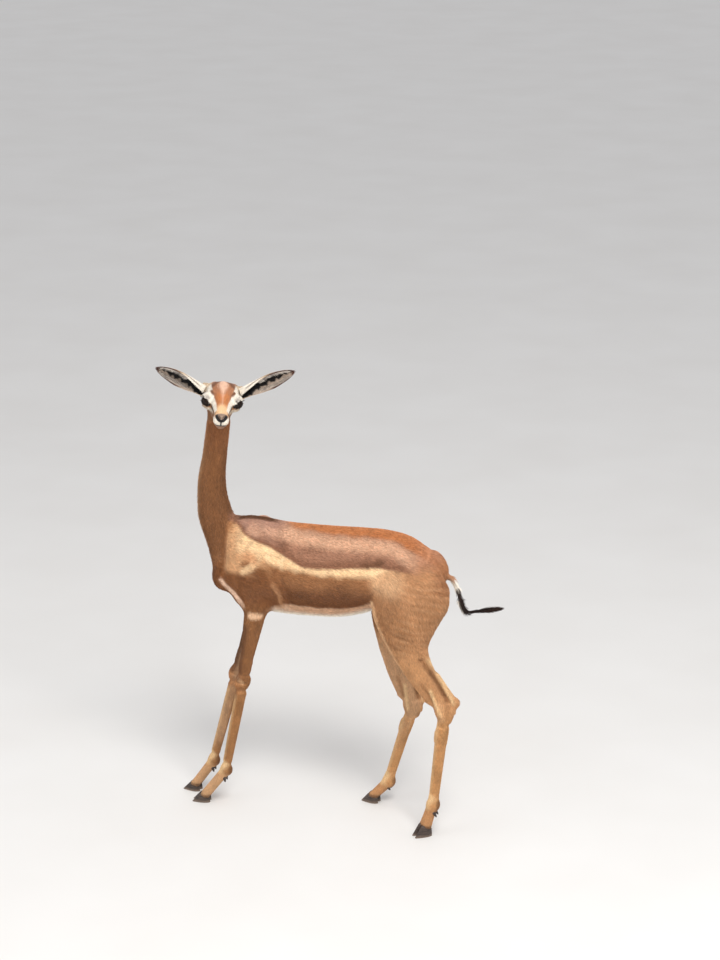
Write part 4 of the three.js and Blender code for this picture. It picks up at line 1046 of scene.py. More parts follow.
# The pale peach middle of the crown: partly its own colour, partly a painted highlight on the top of the head.
brush(0.85 * top * (1 - smooth(aside - crown_width + 5 * hairs, -5, 5)) * smooth(fore, 28, 48), PEACH_AND_HIGHLIGHT)
brush(face_mask * stroke(m, [(34, 10, 47), (48, 18, 46), (64, 28, 39)], 5, 7) * 0.9, CROWN_BROWN)
brush(top * smooth(fore, 132, 150), MUZZLE_TOP)
over_eye = rise - along_line([(20, 6), (48, 13), (66, 15), (84, 11), (98, 3), (112, -5), (152, -12)], fore)
streak_width = along_line([(100, 60), (112, 10), (126, 8), (150, 6), (158, 0)], fore)
brow = smooth(aside - edge, -1, 1.5) * smooth(over_eye, -1.5, 1.5) * smooth(fore, 10, 26)
brush(face_mask * brow * (1 - smooth(aside - edge - streak_width, -1.5, 1.5)), WHITE)
# Painted shade, grey, in the hollow of the socket between the brow and the eye.
brush(face_mask * stroke(m, [(68, 46, 23), (94, 38, 13)], 4, 5) * 0.7, GREY)
brush(face_mask * stroke(m, [(82, 30, 29), (95, 25, 25)], 2.4, 3), CROWN_BROWN)
brush(face_mask * stroke(m, [(78, 46, -16), (96, 35, -19), (108, 28, -20)], 6, 5), CHEEK)
brush(face_mask * stroke(m, [(60, 50, -4), (74, 52, -11), (92, 44, -15)], 5, 6) * 0.8, CHEEK)
# A painted shadow on each side of the face, between the cheek and the muzzle.
brush(face_mask * stroke(m, [(118, 24, -12), (134, 20, -14)], 3, 5) * 0.6, NECK_BROWN)
brush(face_mask * smooth(fore, 140, 160) * (1 - smooth(rise, -14, -7)) * smooth(rise, -34, -30), WHITE)
# Painted shade, brown, under the chin.
brush(face_mask * smooth(fore, 120, 150) * (1 - smooth(rise, -34, -30)), CHIN_SHADE)
band = stroke(m, [(66, 54, 14), (84, 53, 6), (98, 43, -3), (112, 28, -11)], 4.6, 1.8)
tear = stroke(m, [(94, 44, 0), (104, 34, -3), (116, 26, -10)], 5.6, 1.8)
brush(face_mask * np.maximum(band, tear), BLACK)
nose_front = smooth(fore, 176, 181)
nose_rim = stroke(m[:, 1:], [(14.5, 4), (14, -4), (10.5, -11), (5, -15.5), (0, -17)], 3.2, 1.3) * nose_front
from_pad = np.linalg.norm(m[:, 1:] * at(1 / 12.5, 1 / 9.5, 0)[:2] + at(0, 7 / 9.5, 0)[:2], axis=1)
nose_pad = nose_front * (1 - smooth(from_pad, 0.85, 1.05))
brush(face_mask * nose_pad, NOSE_PAD)
brush(face_mask * nose_rim, BLACK)
philtrum = nose_front * (1 - smooth(aside, 1.5, 2.6)) * smooth(rise, -34, -31) * (1 - smooth(rise, -17, -15))
mouth_height = along_line([(128, -26), (150, -25), (172, -27), (188, -30), (198, -31)], fore)
mouth_line = (1 - smooth(np.abs(rise - mouth_height), 1.1, 2.4)) * smooth(fore, 132, 142)
lip_line = np.maximum(philtrum, mouth_line)
brush(face_mask * lip_line * 0.95, BLACK)
bare = face_mask * np.maximum.reduce([nose_pad, nose_rim, lip_line, band * (np.abs(over_eye + 9) < 12)])

# The ears: black and cream inside, with jagged tongues of black, and white at the root behind. Their marks
# follow how far along an ear and how far across it each vertex lies, and on which wall.
along, over, wall = ear_at.T
upper = np.where(q[:, 1] > 0, -over, over)
EAR_BACK, EAR_PALE, EAR_LILAC, EAR_RIM = (
    colour(*c) for c in ((206, 180, 148), (188, 168, 150), (152, 138, 134), (84, 48, 34))
)
inner_wall = on_ear * (wall < 0)
brush(on_ear * 1.0, EAR_BACK)
brush(on_ear * (wall > 0) * (1 - smooth(along, 0.3, 0.5)) * smooth(upper, -0.3, 0.2), WHITE)
brush(on_ear * (wall > 0) * smooth(along, 0.5, 0.8) * 0.6, GREY)
ear_back_edge = stroke(np.stack([along, upper], 1), [(0.15, 0.75), (0.6, 0.8)], 0.03, 0.06)
brush(on_ear * (wall > 0) * ear_back_edge * 0.6, EAR_RIM)
brush(inner_wall, EAR_PALE)
brush(inner_wall * smooth(upper, 0.1, 0.35), EAR_LILAC)
jagged = 0.1 * np.sin(along * 46) + 0.07 * np.sin(along * 83 + 1) + 0.05 * np.sin(along * 21)
black_width = along_line([(0, 1.2), (0.16, 0.95), (0.32, 0.6), (0.6, 0.52), (0.74, 0.38), (0.9, 0.12)], along)
brush(inner_wall * (1 - smooth(np.abs(upper - 0.1) - black_width - jagged, -0.04, 0.04)), BLACK)
tongue = np.abs(((along * 9) % 1) - 0.5) * 2
brush(inner_wall * smooth(upper, 0.4, 0.55) * smooth(tongue, 0.5, 0.75) * smooth(along, 0.4, 0.5), BLACK)
rim = smooth(np.abs(over), 0.86, 0.94) * smooth(along, 0.4, 0.6)
brush(on_ear * np.maximum(rim, smooth(along, 0.9, 0.96)), EAR_RIM)
by_root = face_mask * smooth(aside, 28, 34) * (1 - smooth(fore, 34, 46)) * smooth(rise, 0, 10)
brush(by_root + (1 - on_ear) * (z > 1140) * smooth(aside, 30, 36) * (fore < 30), EAR_ROOT_PALE)

# Lie of the coat. Hair runs from the nose back over the head, down the neck, back along the trunk and down
# the legs. Each vertex of the skin keeps that direction, and how long, how thick and how raised its hair is,
# and each face keeps the number of the piece of coat that grows there.
flow = np.tile(at(1, 0, -0.3), (len(p), 1))


def comb(mask, direction):
    flow[:] = flow + np.clip(mask, 0, 1)[:, None] * (unit(np.array(direction, float)) - flow)


comb(on_neck, (0.05, 0, -1))
comb((1 - smooth(z, 560, 680)) * (x < 0), (-0.1, 0, -1))
comb((1 - smooth(z, 600, 800)) * smooth(x, 190, 240), (0.35, 0, -1))
comb((1 - smooth(z, 380, 480)) * (x > 0), (-0.05, 0, -1))
back_of_head = unit(HEAD_TURNED @ at(-1, 0, -0.15))
comb(face_mask, back_of_head)
for side, tip, _ in EARS.values():
    comb(on_ear * (q[:, 1] * side > 0), HEAD_TURNED @ unit(tip - EAR_ROOT * at(1, side, 1)))
comb((1 - smooth(dock(p), 2, 6)) * (x > 425), (0.25, 0, -1))
length = 10.0 - 3 * (1 - smooth(z, 420, 600)) - 3 * (1 - smooth(z, 120, 300)) - 2 * smooth(z, 850, 950)
length = np.where(face_mask > 0.5, 4.5 - 2 * smooth(fore, 120, 180), length)
length = np.where(on_ear, 5.0, length)
length += 7 * (x > 428) * (1 - smooth(dock(p), 1, 4))
belly_or_nape = smooth(z, 560, 575) * (1 - smooth(z, 640, 680)) + (z > 700) * (x < -150)
edges = (1 - smooth(wide, 10, 32)) * belly_or_nape
stand = (
    1 + 1.6 * edges * ~on_ear * (1 - face_mask) + 1.2 * on_dock * (z < 684)
    + 0.7 * smooth(x, 330, 400) * (1 - smooth(z, 690, 730))
)
thick = (9.0 / length) ** 1.5 * (1 - smooth(bare, 0.3, 0.6))
right = (y > 0).astype(int)
patch = np.select(
    [on_ear, face_mask > 0.5, z > 800, (z > 560) & (x < 60), z > 560, x < 60],
    [0, 1, 2, 3 + right, 5 + right, 7 + right], 9 + right,
)


def store(mesh, name, kind, values, domain="POINT"):
    attribute = mesh.attributes.new(name, kind, domain)
    field = "vector" if kind == "FLOAT_VECTOR" else "value"
    attribute.data.foreach_set(field, np.asarray(values).ravel())


store(skin_mesh, "markings", "FLOAT_VECTOR", paint)
store(skin_mesh, "flow", "FLOAT_VECTOR", flow)
store(skin_mesh, "hair", "FLOAT", length / 1000)
store(skin_mesh, "thick", "FLOAT", thick)
store(skin_mesh, "stand", "FLOAT", stand)
store(skin_mesh, "bare", "FLOAT", bare)
store(skin_mesh, "tone", "FLOAT", 0.4 + 0.15 * uneven(p, 6))
first_corner = np.array([f.vertices[0] for f in skin_mesh.polygons])
store(skin_mesh, "patch", "INT", patch[first_corner], "FACE")
bpy.context.view_layer.objects.active = skin
skin.select_set(True)
bpy.ops.object.mode_set(mode="EDIT")
bpy.ops.mesh.select_all(action="SELECT")
bpy.ops.uv.smart_project(angle_limit=math.radians(66), island_margin=0.002)
bpy.ops.object.mode_set(mode="OBJECT")
skin_mesh.uv_layers[0].name = "OFBake"

# Coat. The hair is short, dense and sleek, and lies flat. Each tuft is a thin closed blade with a low ridge,
# set along the lie of the coat and tipped up a little, by one tree of Geometry Nodes for every piece of coat.
BLADE = [(-0.075, 0, -0.01), (0.075, 0, -0.01), (0, 0.35, 0.045), (0, 1, 0.0)]
BLADE_ON_MAP = 0.02
TUFTS_PER_SQUARE_METRE = 200000.0
blade_mesh = bpy.data.meshes.new("blade")
blade_mesh.from_pydata(BLADE, [], [(0, 1, 2), (1, 3, 2), (3, 0, 2), (1, 0, 3)])
store(blade_mesh, "tipward", "FLOAT", [0, 0, 0.35, 1])
blade_map = blade_mesh.uv_layers.new(name="blade_map")
for loop in blade_mesh.loops:
    vertex = BLADE[loop.vertex_index]
    blade_map.uv[loop.index].vector = (vertex[0] + 0.075, 0.15 * vertex[1])
blade = bpy.data.objects.new("blade", blade_mesh)


def fresh_tree(name, output, **kinds):
    """A tree of Geometry Nodes with its two ends, and the identifier of each of its named inputs."""
    tree = bpy.data.node_groups.new(name, "GeometryNodeTree")
    inputs = {}
    for key, kind in kinds.items():
        socket = tree.interface.new_socket(key, in_out="INPUT", socket_type="NodeSocket" + kind)
        inputs[key] = socket.identifier
    tree.interface.new_socket(output, in_out="OUTPUT", socket_type="NodeSocketGeometry")
    return tree, inputs, tree.nodes.new("NodeGroupInput"), tree.nodes.new("NodeGroupOutput")


def named(new, name, kind):
    """The values that a mesh carries under a name."""
    node = new("GeometryNodeInputNamedAttribute")
    node.data_type = kind
    node.inputs["Name"].default_value = name
    return node.outputs["Attribute"]


def made_real(new, link, copies, finish, carried):
    """Real copies, each with its place in the OFBake map and its finish, without the values they carried."""
    real = new("GeometryNodeRealizeInstances")
    link(copies, real.inputs[0])
    small = new("ShaderNodeVectorMath")
    small.operation = "SCALE"
    small.inputs["Scale"].default_value = BLADE_ON_MAP
    link(named(new, "blade_map", "FLOAT_VECTOR"), small.inputs[0])
    place = new("ShaderNodeVectorMath")
    link(named(new, "root_map", "FLOAT_VECTOR"), place.inputs[0])
    link(small.outputs[0], place.inputs[1])
    bake = new("GeometryNodeStoreNamedAttribute")
    bake.data_type, bake.domain = "FLOAT2", "CORNER"
    bake.inputs["Name"].default_value = "OFBake"
    link(real.outputs[0], bake.inputs["Geometry"])
    link(place.outputs[0], bake.inputs["Value"])
    last = bake.outputs[0]
    for name in ("root_map", "blade_map", *carried):
        drop = new("GeometryNodeRemoveAttribute")
        drop.inputs["Name"].default_value = name
        link(last, drop.inputs["Geometry"])
        last = drop.outputs[0]
    dressed = new("GeometryNodeSetMaterial")
    link(last, dressed.inputs["Geometry"])
    link(finish, dressed.inputs["Material"])
    return dressed.outputs[0]


def coat_tree():
    tree, inputs, given, result = fresh_tree(
        "lay_coat", "Coat", Skin="Geometry", Patch="Int", Density="Float", Lift="Float", Width="Float",
        Seed="Int", Blade="Object", Finish="Material",
    )
    new, link = tree.nodes.new, tree.links.new

    def chance(low, high, step):
        node = new("FunctionNodeRandomValue")
        node.inputs[2].default_value, node.inputs[3].default_value = low, high
        seed = new("ShaderNodeMath")
        seed.operation = "ADD"
        link(given.outputs["Seed"], seed.inputs[0])
        seed.inputs[1].default_value = step
        link(seed.outputs[0], node.inputs["Seed"])
        return node.outputs[1]

    def sum_of(operation, a, b):
        node = new("ShaderNodeMath")
        node.operation = operation
        for socket, value in zip(node.inputs, (a, b)):
            if isinstance(value, (int, float)):
                socket.default_value = value
            else:
                link(value, socket)
        return node.outputs[0]

    same = new("FunctionNodeCompare")
    same.data_type, same.operation = "INT", "EQUAL"
    link(named(new, "patch", "INT"), same.inputs[2])
    link(given.outputs["Patch"], same.inputs[3])
    part = new("GeometryNodeSeparateGeometry")
    part.domain = "FACE"
    link(given.outputs["Skin"], part.inputs["Geometry"])
    link(same.outputs["Result"], part.inputs["Selection"])
    roots = new("GeometryNodeDistributePointsOnFaces")
    link(part.outputs["Selection"], roots.inputs["Mesh"])
    link(sum_of("MULTIPLY", given.outputs["Density"], named(new, "thick", "FLOAT")), roots.inputs["Density"])
    link(given.outputs["Seed"], roots.inputs["Seed"])
    tone = new("GeometryNodeStoreNamedAttribute")
    tone.data_type, tone.domain = "FLOAT", "POINT"
    tone.inputs["Name"].default_value = "tone"
    link(roots.outputs["Points"], tone.inputs["Geometry"])
    link(chance(0, 1, 1), tone.inputs["Value"])
    root_map = new("GeometryNodeStoreNamedAttribute")
    root_map.data_type, root_map.domain = "FLOAT_VECTOR", "POINT"
    root_map.inputs["Name"].default_value = "root_map"
    link(tone.outputs[0], root_map.inputs["Geometry"])
    link(named(new, "OFBake", "FLOAT_VECTOR"), root_map.inputs["Value"])

    stray = new("FunctionNodeRandomValue")
    stray.data_type = "FLOAT_VECTOR"
    stray.inputs[0].default_value, stray.inputs[1].default_value = (-0.16,) * 3, (0.16,) * 3
    link(given.outputs["Seed"], stray.inputs["Seed"])
    lie = new("ShaderNodeVectorMath")
    link(named(new, "flow", "FLOAT_VECTOR"), lie.inputs[0])
    link(stray.outputs[0], lie.inputs[1])
    axes = new("FunctionNodeAxesToRotation")
    axes.primary_axis, axes.secondary_axis = "Z", "Y"
    link(roots.outputs["Normal"], axes.inputs["Primary Axis"])
    link(lie.outputs[0], axes.inputs["Secondary Axis"])
    angle = new("ShaderNodeCombineXYZ")
    lift = sum_of("MULTIPLY", given.outputs["Lift"], named(new, "stand", "FLOAT"))
    link(sum_of("MULTIPLY", lift, chance(0.5, 1.5, 2)), angle.inputs["X"])
    tip_up = new("FunctionNodeEulerToRotation")
    link(angle.outputs[0], tip_up.inputs[0])
    turned = new("FunctionNodeRotateRotation")
    turned.rotation_space = "LOCAL"
    link(axes.outputs[0], turned.inputs["Rotation"])
    link(tip_up.outputs[0], turned.inputs["Rotate By"])
    long = sum_of("MULTIPLY", named(new, "hair", "FLOAT"), chance(0.75, 1.25, 3))
    size = new("ShaderNodeCombineXYZ")
    link(sum_of("MULTIPLY", long, given.outputs["Width"]), size.inputs["X"])
    link(long, size.inputs["Y"])
    link(long, size.inputs["Z"])
    one = new("GeometryNodeObjectInfo")
    link(given.outputs["Blade"], one.inputs["Object"])
    tufts = new("GeometryNodeInstanceOnPoints")
    link(root_map.outputs[0], tufts.inputs["Points"])
    link(one.outputs["Geometry"], tufts.inputs["Instance"])
    link(turned.outputs[0], tufts.inputs["Rotation"])
    link(size.outputs[0], tufts.inputs["Scale"])
    carried = ("flow", "hair", "thick", "stand", "bare", "patch")
    link(made_real(new, link, tufts.outputs[0], given.outputs["Finish"], carried), result.inputs[0])
    return tree, inputs


def coat_grain():
    """What every hairy piece shares: change of tone from hair to hair, slow changes of tone, and a fine bump.
    """
    group = bpy.data.node_groups.new("coat grain", "ShaderNodeTree")
    for name, kind, way in (
        ("Markings", "NodeSocketColor", "INPUT"), ("Tone", "NodeSocketFloat", "INPUT"),
        ("Fineness", "NodeSocketFloat", "INPUT"), ("Colour", "NodeSocketColor", "OUTPUT"),
        ("Roughness", "NodeSocketFloat", "OUTPUT"), ("Height", "NodeSocketFloat", "OUTPUT"),
    ):
        group.interface.new_socket(name, in_out=way, socket_type=kind)
    new, link = group.nodes.new, group.links.new
    given, result, where = new("NodeGroupInput"), new("NodeGroupOutput"), new("ShaderNodeTexCoord")

    def ranged(value, low, high):
        node = new("ShaderNodeMapRange")
        node.inputs["To Min"].default_value, node.inputs["To Max"].default_value = low, high
        link(value, node.inputs["Value"])
        return node.outputs[0]

    def times(a, b):
        node = new("ShaderNodeMath")
        node.operation = "MULTIPLY"
        link(a, node.inputs[0])
        link(b, node.inputs[1])
        return node.outputs[0]

    slow, fine = new("ShaderNodeTexNoise"), new("ShaderNodeTexNoise")
    for noise in (slow, fine):
        link(where.outputs["Object"], noise.inputs["Vector"])
    slow.inputs["Scale"].default_value, slow.inputs["Detail"].default_value = 42, 4
    fine.inputs["Detail"].default_value = 3
    link(given.outputs["Fineness"], fine.inputs["Scale"])
    tone = times(ranged(given.outputs["Tone"], 0.7, 1.26), ranged(slow.outputs["Fac"], 0.8, 1.2))
    shade = new("ShaderNodeVectorMath")
    shade.operation = "SCALE"
    link(given.outputs["Markings"], shade.inputs[0])
    link(times(tone, ranged(fine.outputs["Fac"], 0.78, 1.2)), shade.inputs["Scale"])
    link(shade.outputs[0], result.inputs["Colour"])
    link(ranged(fine.outputs["Fac"], 0.46, 0.7), result.inputs["Roughness"])
    link(fine.outputs["Fac"], result.inputs["Height"])
    return group


grain = coat_grain()


def fresh_finish(name):
    """A material with its shader, its nodes and the maker of its links."""
    material = bpy.data.materials.new(name)
    material.use_nodes = True
    nodes = material.node_tree.nodes
    return material, nodes["Principled BSDF"], nodes, material.node_tree.links.new


def hair_finish(name, fineness, sheen):
    """A finish for hair: its colour is the marking that each piece carries, broken up by the grain."""
    material, shader, nodes, link = fresh_finish(name)
    shader.inputs["Specular IOR Level"].default_value = 0.28
    shader.inputs["Sheen Weight"].default_value = sheen
    shader.inputs["Sheen Roughness"].default_value = 0.4
    shader.inputs["Sheen Tint"].default_value = (1, 0.93, 0.86, 1)
    hair = nodes.new("ShaderNodeGroup")
    hair.node_tree = grain
    hair.inputs["Fineness"].default_value = fineness
    for attribute, output, socket in (("markings", "Color", "Markings"), ("tone", "Fac", "Tone")):
        mark = nodes.new("ShaderNodeAttribute")
        mark.attribute_name = attribute
        link(mark.outputs[output], hair.inputs[socket])
    bump = nodes.new("ShaderNodeBump")
    bump.inputs["Strength"].default_value, bump.inputs["Distance"].default_value = 0.5, 0.0006
    link(hair.outputs["Height"], bump.inputs["Height"])
    link(hair.outputs["Colour"], shader.inputs["Base Color"])
    link(hair.outputs["Roughness"], shader.inputs["Roughness"])
    link(bump.outputs[0], shader.inputs["Normal"])
    return material


def skin_finish():
    """The hide under the hair, and the damp, pebbled leather of nose and lids, where no hair grows."""
    material = hair_finish("hide", 900, 0.05)
    nodes, link = material.node_tree.nodes, material.node_tree.links.new
    shader, bump = nodes["Principled BSDF"], nodes["Bump"]
    hair = next(n for n in nodes if n.type == "GROUP")
    mark, where = nodes.new("ShaderNodeAttribute"), nodes.new("ShaderNodeTexCoord")
    mark.attribute_name = "bare"
    pebbles = nodes.new("ShaderNodeTexVoronoi")
    pebbles.inputs["Scale"].default_value = 850
    link(where.outputs["Object"], pebbles.inputs["Vector"])
    height, damp = nodes.new("ShaderNodeMix"), nodes.new("ShaderNodeMix")
    for blend, plain, to in ((height, "Height", bump), (damp, "Roughness", shader)):
        link(mark.outputs["Fac"], blend.inputs["Factor"])
        link(hair.outputs[plain], blend.inputs["A"])
        link(blend.outputs["Result"], to.inputs[plain])
    link(pebbles.outputs["Distance"], height.inputs["B"])
    damp.inputs["B"].default_value = 0.3
    return material


coat_hair = hair_finish("coat hair", 1400, 0.18)
skin_mesh.materials.clear()
skin_mesh.materials.append(skin_finish())
lay_coat, coat_inputs = coat_tree()


def grown(name, host_mesh, tree, inputs, given):
    """A plain mesh that a tree makes on a host. The host isn't kept."""
    host = added("host", host_mesh)
    modifier = host.modifiers.new("hair", "NODES")
    modifier.node_group = tree
    for key, value in given.items():
        modifier[inputs[key]] = value
    made = bpy.data.meshes.new_from_object(host.evaluated_get(bpy.context.evaluated_depsgraph_get()))
    bpy.data.objects.remove(host)
    made.name = name
    return added(name, made)


def laid(name, body_mesh, number, settings, finish_of_hair, slot):
    """One piece of coat, laid on the part of a body that has this number."""
    given = dict(settings, Patch=number, Blade=blade, Finish=finish_of_hair)
    piece = grown(name, body_mesh, lay_coat, coat_inputs, given)
    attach(piece, "root")


COATS = [
    ("ears", "ear_coat"), ("face", "face_coat"), ("neck", "neck_coat"),
    ("shoulder_left", "back_coat"), ("shoulder_right", "back_coat"),
    ("haunch_left", "back_coat"), ("haunch_right", "back_coat"),
    ("fore_left", "leg_coat"), ("fore_right", "leg_coat"),
    ("hind_left", "leg_coat"), ("hind_right", "leg_coat"),
]
for number, (name, slot) in enumerate(COATS):
    settings = {"Density": TUFTS_PER_SQUARE_METRE, "Lift": 0.11, "Width": 1.0, "Seed": 40 + number}
    laid("coat_" + name, skin_mesh, number, settings, coat_hair, slot)

# Long hairs. Pale hair fringes the inside of the ears, and stiff black lashes shade the eyes. Each is a
# curved lock of its own, set at its root by a second tree of Geometry Nodes.
LOCK = [
    (x, t, 0.16 * t * t + rise)
    for t, w in ((0, 0.4), (0.3, 0.5), (0.65, 0.34)) for x, rise in ((-w, 0), (w, 0), (0, 0.03 * w))
]
LOCK.append((0, 1, 0.16))
lock_mesh = bpy.data.meshes.new("lock")
lock_faces = [(0, 1, 2)] + [
    (3 * r + i, 3 * r + 3 + i, 3 * r + 3 + (i + 1) % 3, 3 * r + (i + 1) % 3) for r in (0, 1) for i in range(3)
]
lock_faces += [(6 + i, 9, 6 + (i + 1) % 3) for i in range(3)]
lock_mesh.from_pydata(LOCK, [], lock_faces)


def faced_out(mesh):
    """Turns every face of a closed mesh outwards."""
    bm = bmesh.new()
    bm.from_mesh(mesh)
    bmesh.ops.recalc_face_normals(bm, faces=bm.faces)
    bm.to_mesh(mesh)
    bm.free()


faced_out(lock_mesh)
lock_map = lock_mesh.uv_layers.new(name="blade_map")
for loop in lock_mesh.loops:
    vertex = LOCK[loop.vertex_index]
    lock_map.uv[loop.index].vector = (0.1 * vertex[0] + 0.05, 0.15 * vertex[1])
lock = bpy.data.objects.new("lock", lock_mesh)


def lock_tree():
    tree, inputs, given, result = fresh_tree(
        "set_locks", "Locks", Roots="Geometry", Width="Float", Seed="Int", Lock="Object", Finish="Material"
    )
    new, link = tree.nodes.new, tree.links.new
    axes = new("FunctionNodeAxesToRotation")
    axes.primary_axis, axes.secondary_axis = "Y", "Z"
    link(named(new, "lie", "FLOAT_VECTOR"), axes.inputs["Primary Axis"])
    link(named(new, "out", "FLOAT_VECTOR"), axes.inputs["Secondary Axis"])
    size, long = new("ShaderNodeCombineXYZ"), named(new, "hair", "FLOAT")
    wide = new("FunctionNodeRandomValue")
    wide.inputs[2].default_value, wide.inputs[3].default_value = 0.6, 1.3
    link(given.outputs["Seed"], wide.inputs["Seed"])
    width = new("ShaderNodeMath")
    width.operation = "MULTIPLY"
    link(given.outputs["Width"], width.inputs[0])
    link(wide.outputs[1], width.inputs[1])
    for axis, value in (("X", width.outputs[0]), ("Y", long), ("Z", long)):
        link(value, size.inputs[axis])
    one, locks = new("GeometryNodeObjectInfo"), new("GeometryNodeInstanceOnPoints")
    link(given.outputs["Lock"], one.inputs["Object"])
    link(given.outputs["Roots"], locks.inputs["Points"])
    link(one.outputs["Geometry"], locks.inputs["Instance"])
    link(axes.outputs[0], locks.inputs["Rotation"])
    link(size.outputs[0], locks.inputs["Scale"])
    real_locks = made_real(new, link, locks.outputs[0], given.outputs["Finish"], ("lie", "out", "hair"))
    link(real_locks, result.inputs[0])
    return tree, inputs


set_locks, lock_inputs = lock_tree()
skin_tree = KDTree(len(p))
for i, place in enumerate(placed(p)):
    skin_tree.insert(place, i)
skin_tree.balance()
corner_of = np.zeros(len(p), int)
for loop in skin_mesh.loops:
    corner_of[loop.vertex_index] = loop.index
skin_map = skin_mesh.uv_layers["OFBake"].uv


def locks(name, roots, lie, out, long, tints, width, finish_of_hair, slot):
    """Locks set at points given in the animal's axes, each with its lie, length and colour."""
    mesh = bpy.data.meshes.new(name)
    mesh.from_pydata(placed(roots).tolist(), [], [])
    nearest = [skin_tree.find(place)[1] for place in placed(roots)]
    places = np.array([(*skin_map[corner_of[i]].vector, 0) for i in nearest])
    store(mesh, "lie", "FLOAT_VECTOR", lie)
    store(mesh, "out", "FLOAT_VECTOR", out)
    store(mesh, "hair", "FLOAT", np.asarray(long) / 1000)
    store(mesh, "markings", "FLOAT_VECTOR", tints)
    store(mesh, "tone", "FLOAT", dice.random(len(roots)))
    store(mesh, "root_map", "FLOAT_VECTOR", places)
    given = {"Width": width, "Seed": 3, "Lock": lock, "Finish": finish_of_hair}
    piece = grown(name, mesh, set_locks, lock_inputs, given)
    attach(piece, "root")


FRINGE_HAIRS, LASHES = 420, 34
FRINGE_WIDTH, LASH_WIDTH = 0.0011, 0.0007
dice = np.random.default_rng(11)
long_hair = hair_finish("long hair", 1100, 0.2)
for ear_name, (side, tip, opening) in EARS.items():
    ahead = unit(tip - EAR_ROOT * at(1, side, 1))
    opening = unit(opening - ahead * (opening @ ahead))
    across = np.cross(ahead, opening)
    own = (in_head(ear_points)[:, 1] * side > 0) & (ear_traits[:, 2] < 0)
    t, over = ear_traits[:, 0], ear_traits[:, 1]
    fringe = own & (np.abs(over) > 0.6) & (np.abs(over) < 0.93) & (t > 0.3) & (t < 0.88)
    chosen = dice.choice(np.flatnonzero(fringe), FRINGE_HAIRS)
    t, over = t[chosen], over[chosen]
    inward = -np.sign(over)[:, None] * across
    over_cup = (0.25 + 0.5 * dice.random(len(t)))[:, None]
    off_cup = (0.1 + 0.2 * dice.random(len(t)))[:, None]
    lie = (ahead * 0.8 + inward * over_cup + opening * off_cup) @ HEAD_TURNED.T
    out = np.tile(HEAD_TURNED @ opening, (len(t), 1))
    tint = EAR_LILAC + dice.random(len(t))[:, None] * (WHITE - EAR_LILAC)
    long = 9 + 9 * dice.random(len(t)) * (1 - 0.5 * t)
    roots = ear_points[chosen]
    locks("fringe_" + ear_name, roots, lie, out, long, tint, FRINGE_WIDTH, long_hair, "ear_coat")
for name, side in (("left", 1), ("right", -1)):
    share = np.linspace(-0.72, 0.8, LASHES)
    tilt = math.radians(29)
    long_way, up_way = at(math.cos(tilt), 0, -math.sin(tilt)), at(math.sin(tilt), 0, math.cos(tilt))
    lid = 18.5 * share[:, None] * long_way + (7.6 * np.sqrt(1 - share ** 2))[:, None] * up_way
    swing = np.array(Matrix.Rotation(math.radians(side * -35), 3, "Z"))
    lid = EYE * at(1, side, 1) + at(8, side * 11, 0) + lid @ swing.T
    roots = settled(animal, on_head(lid), 4, 2.0)
    lie = np.tile(at(0.35, side * 0.9, 0.25), (LASHES, 1)) + 0.5 * share[:, None] * long_way
    lie, out = lie @ HEAD_TURNED.T, np.tile(HEAD_TURNED @ at(0, 0, 1), (LASHES, 1))
    long, tint = 6 + 3 * (1 - share ** 2), np.tile(BLACK, (LASHES, 1))
    locks("lashes_" + name, roots, lie, out, long, tint, LASH_WIDTH, long_hair, "face_coat")

# Eyes. Each is a large, dark ball deep in its socket, brown round a wide level pupil, and wet all over. It is
# turned a little forward, and the lids close on it.
EYE_TINTS = {name: (*colour(*c), 1) for name, c in (
    ("pupil", (8, 7, 8)), ("iris dark", (22, 13, 8)), ("iris light", (54, 32, 16)), ("white", (34, 24, 18)),
)}


